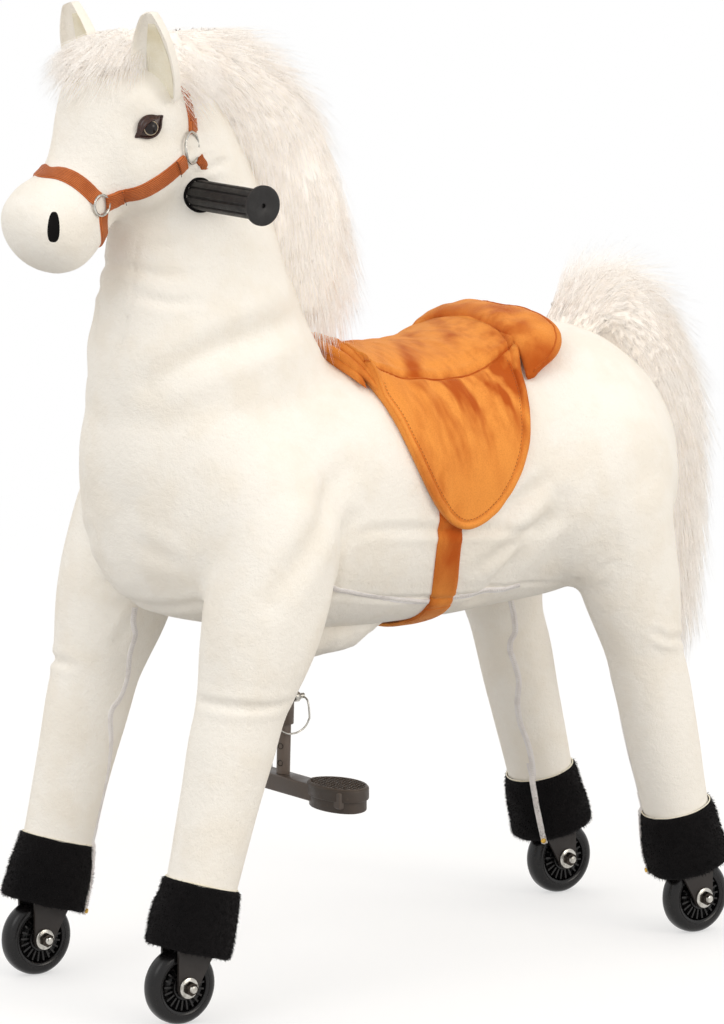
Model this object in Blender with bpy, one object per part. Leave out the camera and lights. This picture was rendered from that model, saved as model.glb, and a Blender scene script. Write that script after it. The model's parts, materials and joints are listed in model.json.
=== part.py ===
# A ride-on plush horse on four small wheels, for a child of about five and over.
# The horse faces -Y, its left side is +X, it stands on z = 0 and every length is in metres.
# A steel frame inside carries two pairs of legs on a shoulder pin and a hip pin, a steering
# stem in the neck, and a stirrup that hangs from the front legs' frame.

import math

import bmesh
import bpy
import numpy as np
from mathutils import Matrix, Vector

# Fits between pieces
touch_gap = 0.0003
cover_gap = 0.0006
running_gap = 0.0003

# Wheels, axle bolts and forks
wheel_radius = 0.040
wheel_width = 0.024
wheel_hub_width = 0.0236
axle_radius = 0.004
front_axle_y = -0.331
rear_axle_y = 0.351
front_track = 0.2666
rear_track = 0.2406
fork_plate_thickness = 0.003
fork_plate_width = 0.050
fork_inner_half = 0.0135
fork_crown_thickness = 0.005
fork_tyre_clearance = 0.004
fork_stem_radius = 0.008
fork_stem_length = 0.036
washer_radius = 0.011
washer_thickness = 0.0015
nut_across_flats = 0.013
nut_height = 0.0065
bolt_end = 0.003

# Pivots of the legs and the steering
pivot_height = 0.500
front_pivot_y = -0.204
rear_pivot_y = 0.230
pin_radius = 0.008
pin_head_radius = 0.012
pin_head_length = 0.006
pivot_sleeve_radius = 0.0165
frame_pivot_half = 0.030
leg_tube_radius = 0.0125
cross_bar_drop = 0.072
cross_bar_radius = 0.010
spring_wire = 0.0022
spring_turns = 4
spring_turn_gap = 0.0007
spring_start = 0.036
stem_y = -0.250
stem_radius = 0.0125
stem_foot_height = 0.575
head_tube_radius = 0.0175
head_tube_top = 0.655
neck_joint_height = 0.685

# Frame and seat board
rail_width = 0.030
rail_height = 0.040
rail_wall = 0.0025
rail_centre_height = 0.560
seat_board_length = 0.190
seat_board_width = 0.130
seat_board_thickness = 0.009
seat_board_centre_y = 0.055

# Handlebar
bar_height = 0.836
bar_radius = 0.011
grip_radius = 0.0155
grip_root = 0.056
grip_length = 0.112
grip_disc_radius = 0.0205
grip_disc_thickness = 0.003
grip_flutes = 10
flute_depth = 0.0014

# Stirrup
post_y = -0.107
post_lean = 0.006
post_radius = 0.0072
post_top = 0.330
sleeve_radius = 0.0099
sleeve_bottom = 0.263
sleeve_top = 0.408
lock_pin_height = 0.290
lock_pin_radius = 0.0030
lock_pin_reach = 0.024
clip_wire_radius = 0.0009
foot_bar_top = 0.2100
foot_bar_height = 0.018
foot_bar_depth = 0.024
foot_bar_half = 0.118
pedal_inner = 0.046
pedal_length = 0.082
pedal_depth = 0.053
pedal_setback = 0.0055
pedal_rise = 0.0035
pedal_drop = 0.005
pedal_tread_height = 0.0145
pedal_base_share = 0.88

# Plush covers
torso_wall_side = 0.030
torso_wall_top = 0.050
torso_wall_bottom = 0.020
leg_top_radius = 0.0550
leg_top_half = 0.0530
leg_notch_gap = 0.0030
swing_room = 0.016
leg_spread_deg = 10.0
cuff_bottom = 0.040
cuff_top = 0.105
cuff_top_radius = 0.0385
cuff_bottom_radius = 0.0425
leg_cover_bottom = 0.060
boot_bottom = 0.350
boot_top = 0.400
boot_half_width = 0.056
boot_setback = 0.026
boot_neck_radius = 0.021

# Saddle and girth
saddle_thickness = 0.012
flap_thickness = 0.005
girth_thickness = 0.0028
seat_half_width = 0.104
seat_front_y = -0.048
seat_rear_y = 0.140
girth_width = 0.027

# Halter
strap_thickness = 0.0026
strap_width = 0.0170
halter_ring_radius = 0.0115
halter_ring_wire = 0.0016

leg_pairs = {
    "front": {"axle_y": front_axle_y, "pivot_y": front_pivot_y, "track": front_track},
    "rear": {"axle_y": rear_axle_y, "pivot_y": rear_pivot_y, "track": rear_track},
}
sides = {"left": 1, "right": -1}

x_axis = Vector((1, 0, 0))
y_axis = Vector((0, 1, 0))
z_axis = Vector((0, 0, 1))

# Each form is a row of rings along an axis. A station holds its place along the axis, the
# ring's shift towards "up", its radii towards up, down and the side, and how square it is.
torso_form = {
    "origin": Vector((0, 0, 0)),
    "axis": y_axis,
    "up": z_axis,
    "stations": [
        (-0.330, 0.550, 0.035, 0.040, 0.028, 2.0),
        (-0.321, 0.548, 0.080, 0.085, 0.056, 2.0),
        (-0.304, 0.542, 0.112, 0.114, 0.082, 2.1),
        (-0.265, 0.532, 0.135, 0.130, 0.122, 2.2),
        (-0.200, 0.520, 0.140, 0.138, 0.147, 2.3),
        (-0.120, 0.510, 0.145, 0.142, 0.150, 2.3),
        (-0.040, 0.505, 0.142, 0.144, 0.148, 2.3),
        (0.050, 0.505, 0.138, 0.146, 0.148, 2.3),
        (0.130, 0.508, 0.146, 0.145, 0.150, 2.3),
        (0.200, 0.512, 0.152, 0.142, 0.153, 2.3),
        (0.260, 0.520, 0.138, 0.130, 0.148, 2.2),
        (0.310, 0.522, 0.106, 0.112, 0.128, 2.1),
        (0.342, 0.520, 0.072, 0.085, 0.095, 2.0),
        (0.357, 0.518, 0.035, 0.040, 0.045, 2.0),
    ],
}
neck_form = {
    "origin": Vector((0, 0, 0)),
    "axis": z_axis,
    "up": -y_axis,
    "stations": [
        (0.560, 0.205, 0.122, 0.130, 0.112, 2.1),
        (0.620, 0.208, 0.121, 0.138, 0.112, 2.1),
        (0.660, 0.212, 0.118, 0.134, 0.107, 2.1),
        (0.685, 0.215, 0.114, 0.122, 0.100, 2.1),
        (0.720, 0.215, 0.110, 0.108, 0.090, 2.1),
        (0.760, 0.215, 0.102, 0.095, 0.079, 2.0),
        (0.800, 0.218, 0.094, 0.086, 0.072, 2.0),
        (0.850, 0.228, 0.084, 0.078, 0.060, 2.0),
        (0.900, 0.245, 0.073, 0.070, 0.050, 2.0),
        (0.940, 0.258, 0.054, 0.055, 0.040, 2.0),
        (0.962, 0.262, 0.022, 0.022, 0.020, 2.0),
    ],
}
head_slope = math.radians(48.7)
head_form = {
    "origin": Vector((0, -0.300, 0.915)),
    "axis": Vector((0, -math.cos(head_slope), -math.sin(head_slope))),
    "up": Vector((0, -math.sin(head_slope), math.cos(head_slope))),
    "stations": [
        (-0.073, 0.000, 0.018, 0.018, 0.018, 2.0),
        (-0.062, 0.000, 0.044, 0.042, 0.038, 2.0),
        (-0.036, 0.000, 0.066, 0.066, 0.057, 2.0),
        (0.000, 0.000, 0.074, 0.076, 0.066, 2.0),
        (0.035, 0.000, 0.068, 0.074, 0.063, 2.0),
        (0.065, 0.000, 0.057, 0.065, 0.055, 2.0),
        (0.092, 0.000, 0.049, 0.054, 0.048, 2.0),
        (0.108, 0.000, 0.049, 0.052, 0.048, 2.0),
        (0.130, 0.000, 0.053, 0.054, 0.053, 2.0),
        (0.150, 0.000, 0.051, 0.052, 0.052, 2.0),
        (0.168, 0.000, 0.042, 0.043, 0.043, 2.0),
        (0.180, 0.000, 0.027, 0.028, 0.028, 2.0),
        (0.186, 0.000, 0.012, 0.012, 0.012, 2.0),
    ],
}
mane_form = {
    "origin": Vector((0, 0, 0)),
    "axis": z_axis,
    "up": -y_axis,
    "stations": [
        (0.690, 0.112, 0.048, 0.034, 0.044, 2.0),
        (0.705, 0.106, 0.056, 0.058, 0.054, 2.0),
        (0.740, 0.098, 0.062, 0.066, 0.062, 2.0),
        (0.800, 0.104, 0.064, 0.068, 0.064, 2.0),
        (0.860, 0.122, 0.070, 0.072, 0.060, 2.0),
        (0.920, 0.155, 0.080, 0.074, 0.053, 2.0),
        (0.965, 0.195, 0.080, 0.066, 0.045, 2.0),
        (0.992, 0.225, 0.060, 0.052, 0.034, 2.0),
        (1.005, 0.240, 0.024, 0.022, 0.016, 2.0),
    ],
}
leg_stations = [
    (0.060, 0.0330),
    (0.112, 0.0350),
    (0.190, 0.0390),
    (0.250, 0.0440),
    (0.300, 0.0485),
    (0.350, 0.0515),
    (0.410, 0.0530),
    (0.470, 0.0535),
]
tail_path = [
    (0.262, 0.640, 0.026),
    (0.290, 0.672, 0.034),
    (0.330, 0.672, 0.042),
    (0.366, 0.632, 0.047),
    (0.386, 0.570, 0.050),
    (0.395, 0.500, 0.050),
    (0.396, 0.430, 0.047),
    (0.392, 0.370, 0.039),
    (0.390, 0.325, 0.023),
    (0.390, 0.300, 0.008),
]


def material(name, colour, roughness, metallic=0.0):
    made = bpy.data.materials.new(name)
    made.use_nodes = True
    shader = made.node_tree.nodes["Principled BSDF"]
    shader.inputs["Base Color"].default_value = (*colour, 1.0)
    shader.inputs["Roughness"].default_value = roughness
    shader.inputs["Metallic"].default_value = metallic
    made.diffuse_color = (*colour, 1.0)
    return made


plush_white = material("plush_white", (0.92, 0.87, 0.78), 0.95)
fur_white = material("fur_white", (0.94, 0.88, 0.82), 0.9)
ear_lining = material("ear_lining", (0.93, 0.88, 0.76), 0.95)
plush_black = material("plush_black", (0.012, 0.011, 0.012), 0.95)
velvet_orange = material("velvet_orange", (0.70, 0.21, 0.03), 0.8)
webbing_orange = material("webbing_orange", (0.52, 0.12, 0.025), 0.7)
painted_steel = material("painted_steel", (0.02, 0.018, 0.017), 0.45, 0.2)
zinc_steel = material("zinc_steel", (0.62, 0.61, 0.58), 0.3, 1.0)
spring_steel = material("spring_steel", (0.35, 0.35, 0.36), 0.35, 1.0)
plywood = material("plywood", (0.55, 0.38, 0.2), 0.6)
grip_rubber = material("grip_rubber", (0.015, 0.015, 0.015), 0.6)
pedal_plastic = material("pedal_plastic", (0.04, 0.032, 0.028), 0.5)
fork_plastic = material("fork_plastic", (0.018, 0.018, 0.018), 0.45)
wheel_urethane = material("wheel_urethane", (0.02, 0.02, 0.021), 0.35)
eye_gloss = material("eye_gloss", (0.03, 0.012, 0.006), 0.08)


def remove_all_objects():
    for old in list(bpy.data.objects):
        bpy.data.objects.remove(old, do_unlink=True)


def empty_at(name, place):
    made = bpy.data.objects.new(name, None)
    made.empty_display_size = 0.03
    made.location = place
    bpy.context.collection.objects.link(made)
    return made


def add_mesh(name, bm, finish):
    bmesh.ops.remove_doubles(bm, verts=bm.verts, dist=1e-6)
    bmesh.ops.recalc_face_normals(bm, faces=bm.faces)
    mesh = bpy.data.meshes.new(name)
    bm.to_mesh(mesh)
    bm.free()
    mesh.shade_smooth()
    mesh.set_sharp_from_angle(angle=math.radians(35))
    made = bpy.data.objects.new(name, mesh)
    bpy.context.collection.objects.link(made)
    if finish:
        made.data.materials.append(finish)
    return made


def as_guide(obj):
    obj.hide_render = True
    obj.display_type = "WIRE"
    return obj


def boolean(obj, other, operation):
    change = obj.modifiers.new(operation.lower(), "BOOLEAN")
    change.operation = operation
    change.solver = "EXACT"
    change.object = as_guide(other)


def cut(obj, *others):
    for other in others:
        boolean(obj, other, "DIFFERENCE")


def join(obj, *others):
    for other in others:
        boolean(obj, other, "UNION")


def keep_inside(obj, other):
    boolean(obj, other, "INTERSECT")


def hang_on(obj, empty):
    # The mesh keeps its place and the object's origin moves to the empty's place.
    obj.data.transform(Matrix.Translation(-empty.location))
    obj.parent = empty


def basis_along(direction, sideways=x_axis):
    along = Vector(direction).normalized()
    first = sideways - along * sideways.dot(along)
    if first.length < 1e-3:
        first = y_axis - along * y_axis.dot(along)
    first.normalize()
    return first, along.cross(first), along


def bridge_rings(bm, rings, closed_ends=True, looped=False):
    loops = []
    for ring in rings:
        loops.append([bm.verts.new(point) for point in ring])
    count = len(loops[0])
    last = len(loops) if looped else len(loops) - 1
    for i in range(last):
        low, high = loops[i], loops[(i + 1) % len(loops)]
        for j in range(count):
            k = (j + 1) % count
            bm.faces.new((low[j], low[k], high[k], high[j]))
    if closed_ends and not looped:
        bm.faces.new(loops[0])
        bm.faces.new(loops[-1])


def circle(centre, first, second, radius, count, turn=0.0):
    points = []
    for j in range(count):
        angle = turn + 2 * math.pi * j / count
        points.append(centre + (first * math.cos(angle) + second * math.sin(angle)) * radius)
    return points


def turned(name, profile, centre, direction, count, finish, looped=False):
    # A profile of (place along the direction, radius) spun round it.
    first, second, along = basis_along(direction)
    bm = bmesh.new()
    rings = []
    for place, radius in profile:
        rings.append(circle(Vector(centre) + along * place, first, second, radius, count))
    bridge_rings(bm, rings, looped=looped)
    return add_mesh(name, bm, finish)


def bore_for(radius, gap=running_gap, count=12):
    # A many-sided bore's flats lie nearer its axis than its corners.
    return (radius + gap) / math.cos(math.pi / count)


def rod(name, start, end, radius, finish=None, count=12, more=0.0):
    start, end = Vector(start), Vector(end)
    direction = (end - start).normalized()
    length = (end - start).length
    profile = [(-more, radius), (length + more, radius)]
    return turned(name, profile, start, direction, count, finish)


def box(name, low, high, finish=None):
    bm = bmesh.new()
    bmesh.ops.create_cube(bm, size=1.0)
    low, high = Vector(low), Vector(high)
    size = high - low
    for vert in bm.verts:
        place = (vert.co.x + 0.5, vert.co.y + 0.5, vert.co.z + 0.5)
        vert.co = low + Vector(a * b for a, b in zip(place, size))
    return add_mesh(name, bm, finish)


def prism(name, outline, direction, low, high, finish=None):
    # An outline of points in the plane across the direction, run from low to high along it.
    bm = bmesh.new()
    rings = [[point + direction * place for point in outline] for place in (low, high)]
    bridge_rings(bm, rings)
    return add_mesh(name, bm, finish)


def in_yz(points):
    return [Vector((0, y, z)) for y, z in points]


def smooth_row(stations, place):
    # The stations' values at a place, on a cubic through them that never overshoots.
    table = np.array(stations, dtype=float)
    places, values = table[:, 0], table[:, 1:]
    steps = np.diff(places)
    rises = np.diff(values, axis=0) / steps[:, None]
    slopes = np.zeros_like(values)
    slopes[0], slopes[-1] = rises[0], rises[-1]
    for i in range(1, len(places) - 1):
        before, after = rises[i - 1], rises[i]
        same = before * after > 0
        total = np.where(same, before + after, 1.0)
        slopes[i] = np.where(same, 2 * before * after / total, 0.0)
    i = int(np.clip(np.searchsorted(places, place) - 1, 0, len(places) - 2))
    s = (place - places[i]) / steps[i]
    a = (1 + 2 * s) * (1 - s) ** 2
    b = s * (1 - s) ** 2
    c = s * s * (3 - 2 * s)
    d = s * s * (s - 1)
    return (
        a * values[i] + b * steps[i] * slopes[i] + c * values[i + 1] + d * steps[i] * slopes[i + 1]
    )


def power_of(value, exponent):
    return math.copysign(abs(value) ** exponent, value)


def form_point(form, place, angle, offset=0.0):
    shift, up, down, side, square = smooth_row(form["stations"], place)
    across = power_of(math.cos(angle), 2 / square) * (side + offset)
    rise = power_of(math.sin(angle), 2 / square)
    rise *= (up if rise > 0 else down) + offset
    centre = form["origin"] + form["axis"] * place
    return centre + form["up"] * (shift + rise) + x_axis * across


def form_solid(name, form, count, rings, finish=None, offset=0.0, low=None, high=None):
    first = form["stations"][0][0] if low is None else low
    last = form["stations"][-1][0] if high is None else high
    places = [first + (last - first) * i / rings for i in range(rings + 1)]
    if low is None and high is None:
        # Rings crowd towards the rounded ends.
        middle, half = (first + last) / 2, (last - first) / 2
        turns = [math.pi * i / rings for i in range(rings + 1)]
        places = [middle - half * (0.65 * math.cos(a) + 0.35 * (1 - 2 * a / math.pi)) for a in turns]
    bm = bmesh.new()
    loops = []
    for place in places:
        reach = form["axis"] * (offset * (2 * (place - first) / (last - first) - 1))
        loop = []
        for j in range(count):
            loop.append(form_point(form, place, 2 * math.pi * j / count, offset) + reach)
        loops.append(loop)
    bridge_rings(bm, loops)
    return add_mesh(name, bm, finish)


def swept(name, path, radii, count, finish=None):
    # A tube along points, its rings square to the path.
    points = [Vector(p) for p in path]
    bm = bmesh.new()
    rings = []
    side = None
    for i, point in enumerate(points):
        ahead = points[min(i + 1, len(points) - 1)] - points[max(i - 1, 0)]
        ahead.normalize()
        if side is None:
            side = basis_along(ahead)[0]
        side = (side - ahead * side.dot(ahead)).normalized()
        up = ahead.cross(side)
        wide, tall = radii[i] if isinstance(radii[i], tuple) else (radii[i], radii[i])
        ring = []
        for j in range(count):
            angle = 2 * math.pi * j / count
            ring.append(point + side * wide * math.cos(angle) + up * tall * math.sin(angle))
        rings.append(ring)
    bridge_rings(bm, rings)
    return add_mesh(name, bm, finish)


def convex_outline(points):
    # Andrew's monotone chain, anticlockwise.
    ordered = sorted(set(points))

    def half(run):
        chain = []
        for p in run:
            while len(chain) > 1:
                (ax, ay), (bx, by) = chain[-2], chain[-1]
                if (bx - ax) * (p[1] - ay) - (by - ay) * (p[0] - ax) > 1e-12:
                    break
                chain.pop()
            chain.append(p)
        return chain[:-1]

    return half(ordered) + half(ordered[::-1])


def leg_frame_of(pair):
    # The wheel's centre, the way up the leg, and how far up the pivot lies.
    data = leg_pairs[pair]
    axle = Vector((0, data["axle_y"], wheel_radius))
    pivot = Vector((0, data["pivot_y"], pivot_height))
    up = (pivot - axle).normalized()
    return axle, up, (pivot - axle).length


def leg_form_of(pair, side):
    axle, up, reach = leg_frame_of(pair)
    start = leg_stations[-1][0]
    stations = []
    for place, radius in leg_stations:
        # The stations are spaced over whatever length the leg has.
        share = (place - leg_stations[0][0]) / (start - leg_stations[0][0])
        along = leg_stations[0][0] + share * (reach - leg_stations[0][0])
        stations.append((along, 0.0, radius, radius, radius, 2.0))
    return {
        "origin": axle + x_axis * (sides[side] * leg_pairs[pair]["track"] / 2),
        "axis": up,
        "up": Vector((0, -up.z, up.y)),
        "stations": stations,
    }


remove_all_objects()

shoulder_axis = empty_at("shoulder_axis", (0, front_pivot_y, pivot_height))
hip_axis = empty_at("hip_axis", (0, rear_pivot_y, pivot_height))
steering_axis = empty_at("steering_axis", (0, stem_y, neck_joint_height))
pair_empty = {"front": shoulder_axis, "rear": hip_axis}


def torso_shell(name, offset, finish=None):
    # The barrel with the base of the neck grown out of it.
    body = form_solid(name, torso_form, 24, 13, finish, offset)
    stump_low = neck_form["stations"][0][0]
    stump = form_solid(
        name + "_neck_base", neck_form, 22, 3, None, offset, stump_low, neck_joint_height
    )
    join(body, stump)
    return body


def frame_rods(pair):
    # Each welded tube of a pair's leg frame: start, end, radius.
    axle, up, reach = leg_frame_of(pair)
    pivot = axle + up * reach
    half = leg_pairs[pair]["track"] / 2
    rods = []
    for side in sides.values():
        inner = pivot + x_axis * side * (frame_pivot_half + 2 * touch_gap)
        outer = pivot + x_axis * side * (half + leg_tube_radius)
        rods.append((inner, outer, pivot_sleeve_radius))
        hip = pivot + x_axis * side * half
        foot = axle + up * (fork_seat() + touch_gap) + x_axis * side * half
        rods.append((hip, foot, leg_tube_radius))
    bar = pivot - up * cross_bar_drop
    rods.append((bar - x_axis * half, bar + x_axis * half, cross_bar_radius))
    return rods


def fork_seat():
    # How far up the leg the fork's crown ends and the leg tube begins.
    return wheel_radius + fork_tyre_clearance + fork_crown_thickness


def make_leg_frame(pair):
    rods = frame_rods(pair)
    name = pair + "_leg_frame"
    pieces = []
    for i, (start, end, radius) in enumerate(rods):
        piece_name = name if i == 0 else f"{name}_tube_{i}"
        piece_finish = painted_steel if i == 0 else None
        pieces.append(rod(piece_name, start, end, radius, piece_finish))
    join(pieces[0], *pieces[1:])
    if pair == "front":
        join(pieces[0], stirrup_arm("front_leg_frame_arm"))
        room = bore_for(sleeve_radius, touch_gap)
        cut(pieces[0], stirrup_bore("front_leg_frame_arm_bore", room))
    axle, up, reach = leg_frame_of(pair)
    for side_name, side in sides.items():
        base = axle + x_axis * side * leg_pairs[pair]["track"] / 2
        start = base + up * (fork_seat() - 0.01)
        end = base + up * (reach - pivot_sleeve_radius - 0.004)
        fork_bore = bore_for(fork_stem_radius)
        cut(pieces[0], rod(f"{name}_{side_name}_fork_bore", start, end, fork_bore))
    pivot = axle + up * reach
    bore = bore_for(pin_radius)
    cut(pieces[0], rod(name + "_bore", pivot - x_axis * 0.3, pivot + x_axis * 0.3, bore))
    hang_on(pieces[0], pair_empty[pair])
    return pieces[0]


def stirrup_line(height):
    # The post leans a little: its foot is further forward than its top.
    span = sleeve_top - foot_bar_top
    return Vector((0, post_y + post_lean * (height - foot_bar_top) / span, height))


def stirrup_arm(name):
    axle, up, reach = leg_frame_of("front")
    bar = axle + up * (reach - cross_bar_drop)
    clamp = stirrup_line(sleeve_top - cross_bar_radius - 0.002)
    return rod(name, bar, clamp, cross_bar_radius * 0.98, count=10)


def stirrup_bore(name, radius):
    return rod(name, stirrup_line(sleeve_bottom - 0.05), stirrup_line(sleeve_top + 0.05), radius)


def make_legs(pair):
    axle, up, reach = leg_frame_of(pair)
    pivot = axle + up * reach
    for side_name, side in sides.items():
        centre = x_axis * side * leg_pairs[pair]["track"] / 2
        name = f"{pair}_{side_name}"
        form = leg_form_of(pair, side_name)
        cover = form_solid(
            name + "_leg_cover", form, 16, 6, plush_white, 0.0, leg_cover_bottom, reach
        )
        drum = []
        for share in (-1.0, -0.90, -0.55, 0.55, 0.90, 1.0):
            fullness = max(1 - abs(share) ** 3, 0.22) ** (1 / 2.2)
            drum.append((leg_top_half * share, leg_top_radius * fullness))
        join(cover, turned(name + "_shoulder", drum, pivot + centre, x_axis, 18, None))
        for i, (start, end, radius) in enumerate(frame_rods(pair)):
            if (start + end).dot(x_axis) * side > 0 or i == 4:
                grown = bore_for(radius, cover_gap, 8)
                room = rod(f"{name}_frame_room_{i}", start, end, grown, count=8, more=cover_gap)
                cut(cover, room)
        head = half_pin(pair) + pin_head_length + cover_gap
        room = bore_for(pin_head_radius, cover_gap, 8)
        cut(cover, rod(name + "_pin_room", pivot, pivot + x_axis * side * head, room, count=8))
        hang_on(cover, pair_empty[pair])

        foot = axle + centre
        outside = [
            (cuff_bottom, cuff_bottom_radius - 0.004),
            (cuff_bottom + 0.004, cuff_bottom_radius),
            (cuff_bottom + 0.030, cuff_bottom_radius - 0.004),
            (cuff_top - 0.004, cuff_top_radius),
            (cuff_top, cuff_top_radius - 0.0015),
        ]
        inside = []
        for place in (cuff_top, cuff_bottom):
            inside.append((place, smooth_row(form["stations"], place)[1] + cover_gap))
        profile = outside + inside
        cuff = turned(name + "_hoof_cuff", profile, foot, up, 16, plush_black, looped=True)
        hang_on(cuff, pair_empty[pair])


def half_pin(pair):
    # Half the length of a pivot pin between its two heads.
    return leg_pairs[pair]["track"] / 2 + leg_tube_radius + 2 * touch_gap


def make_pin(pair, name):
    pivot = Vector((0, leg_pairs[pair]["pivot_y"], pivot_height))
    reach = half_pin(pair)
    profile = [
        (-reach - pin_head_length, pin_head_radius),
        (-reach, pin_head_radius),
        (-reach, pin_radius),
        (reach, pin_radius),
        (reach, pin_head_radius),
        (reach + pin_head_length, pin_head_radius),
    ]
    turned(name, profile, pivot, x_axis, 16, zinc_steel)


def make_main_frame():
    low = rail_centre_height - rail_height / 2
    high = rail_centre_height + rail_height / 2
    half = rail_width / 2
    frame = box("main_frame", (-half, stem_y, low), (half, rear_pivot_y, high), painted_steel)
    head_foot = stem_foot_height - 0.03
    head_tube = rod(
        "main_frame_head_tube", (0, stem_y, head_foot), (0, stem_y, head_tube_top), head_tube_radius
    )
    join(frame, head_tube)
    for pair, data in leg_pairs.items():
        pivot = Vector((0, data["pivot_y"], pivot_height))
        span = x_axis * frame_pivot_half
        sleeve = rod(f"main_frame_{pair}_pivot", pivot - span, pivot + span, pivot_sleeve_radius)
        lug_half = pivot_sleeve_radius * 0.8
        shift = -lug_half if pair == "rear" else 0.0
        y = data["pivot_y"] + shift
        lug = box(
            f"main_frame_{pair}_lug",
            (-half * 0.8, y - lug_half * 0.6, pivot_height),
            (half * 0.8, y + lug_half, rail_centre_height),
        )
        join(frame, lug, sleeve)
        bore = bore_for(pin_radius)
        cut(frame, rod(f"main_frame_{pair}_bore", pivot - x_axis * 0.1, pivot + x_axis * 0.1, bore))
    hollow_start = stem_y + head_tube_radius + 0.002
    hollow_low = (-half + rail_wall, hollow_start, low + rail_wall)
    hollow_high = (half - rail_wall, rear_pivot_y + 0.01, high - rail_wall)
    cut(frame, box("main_frame_hollow", hollow_low, hollow_high))
    stem_room = bore_for(stem_radius)
    room_foot = (0, stem_y, stem_foot_height - touch_gap)
    cut(frame, rod("main_frame_stem_bore", room_foot, (0, stem_y, 0.8), stem_room))


def board_corners(more=0.0):
    top = rail_centre_height + rail_height / 2 + touch_gap
    half_x, half_y = seat_board_width / 2 + more, seat_board_length / 2 + more
    low = (-half_x, seat_board_centre_y - half_y, top - more)
    high = (half_x, seat_board_centre_y + half_y, top + seat_board_thickness + more)
    return low, high


def spring_coil():
    # The points a turn, the radius to the wire's centre at them, and the way from turn to turn.
    points_a_turn = 9
    inner = pivot_sleeve_radius + spring_wire + touch_gap
    return points_a_turn, inner / math.cos(math.pi / points_a_turn), spring_wire * 2 + spring_turn_gap


def make_spring():
    # A torsion spring round the left shoulder sleeve.
    points_a_turn, radius, pitch = spring_coil()
    path = []
    for i in range(spring_turns * points_a_turn + 1):
        angle = 2 * math.pi * i / points_a_turn
        y = front_pivot_y + radius * math.cos(angle)
        z = pivot_height + radius * math.sin(angle)
        path.append((spring_start + pitch * i / points_a_turn, y, z))
    spring = swept("return_spring", path, [spring_wire] * len(path), 4, spring_steel)
    gap = 1.0
    for i, a in enumerate(path):
        for b in path[i + points_a_turn // 2 :]:
            gap = min(gap, (Vector(a) - Vector(b)).length - 2 * spring_wire)
    print(f"return_spring: least gap between turns {gap * 1000:.2f} mm")
    return spring


def make_torso():
    torso = torso_shell("torso_cover", 0.0, plush_white)
    hollow = dict(torso_form)
    hollow["stations"] = []
    for place, shift, up, down, side, square in torso_form["stations"][2:-2]:
        hollow["stations"].append(
            (
                place,
                shift,
                max(up - torso_wall_top, 0.02),
                max(down - torso_wall_bottom, 0.02),
                max(side - torso_wall_side, 0.02),
                square,
            )
        )
    low, high = board_corners(touch_gap)
    cut(torso, box("torso_board_room", low, high))
    stem_room = head_tube_radius + cover_gap
    low_end = (0, stem_y, 0.50)
    cut(torso, rod("torso_stem_room", low_end, (0, stem_y, neck_joint_height + 0.05), stem_room))
    for pair, data in leg_pairs.items():
        axle, up, reach = leg_frame_of(pair)
        pivot = axle + up * reach
        away = -1 if pair == "front" else 1
        grown = (leg_top_radius + leg_notch_gap) / math.cos(math.pi / 18)
        outline = []
        for angle_deg in (0.0, leg_spread_deg + 1.0):
            turn = Matrix.Rotation(math.radians(angle_deg) * away, 3, "X")
            down = turn @ (-up)
            for centre in (pivot, pivot + down * 0.25):
                for j in range(18):
                    angle = 2 * math.pi * j / 18
                    y = centre.y + grown * math.cos(angle)
                    z = centre.z + grown * math.sin(angle)
                    outline.append((round(y, 6), round(z, 6)))
        outline = in_yz(convex_outline(outline))
        inner = data["track"] / 2 - leg_top_half - leg_notch_gap
        for side_name, side in sides.items():
            ends = sorted((side * inner, side * 0.30))
            cut(torso, prism(f"torso_{pair}_{side_name}_notch", outline, x_axis, *ends))
        bar = pivot - up * cross_bar_drop
        reach_x = data["track"] / 2
        bar_room = rod(
            f"torso_{pair}_bar_room",
            bar - x_axis * reach_x,
            bar + x_axis * reach_x,
            cross_bar_radius + swing_room,
        )
        cut(torso, bar_room)
        clear = pivot_sleeve_radius + cover_gap + 0.003
        room = rod(f"torso_{pair}_pin_room", pivot - x_axis * 0.1, pivot + x_axis * 0.1, clear)
        cut(torso, room)
        if pair == "front":
            points_a_turn, coil_radius, pitch = spring_coil()
            spring_end = spring_start + pitch * spring_turns + spring_wire + cover_gap
            grown = bore_for(coil_radius + spring_wire, cover_gap)
            ends = (pivot, pivot + x_axis * spring_end)
            cut(torso, rod("torso_spring_room", *ends, grown))
    # Room for the stirrup's arm, open below.
    slot = box("torso_belly_slot", (-0.043, -0.258, 0.300), (0.043, -0.060, 0.500))
    cut(torso, slot)
    cut(torso, form_solid("torso_cavity", hollow, 20, 8))


def make_boot():
    # The loose fabric bag round the stirrup's column under the belly.
    path, radii = [], []
    steps = 6
    for i in range(steps + 1):
        share = i / steps
        height = boot_bottom + (boot_top - boot_bottom) * share
        swell = math.sin(share * math.pi / 2) ** 0.6
        path.append(stirrup_line(height) + y_axis * boot_setback * swell)
        wide = boot_neck_radius + (boot_half_width - boot_neck_radius) * swell
        radii.append((wide, wide * 1.12))
    boot = swept("belly_boot", path, radii, 18, plush_white)
    cut(boot, torso_shell("boot_torso_room", cover_gap * 2))
    cut(boot, stirrup_bore("boot_sleeve_room", bore_for(sleeve_radius, touch_gap)))
    hang_on(boot, shoulder_axis)


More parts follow.
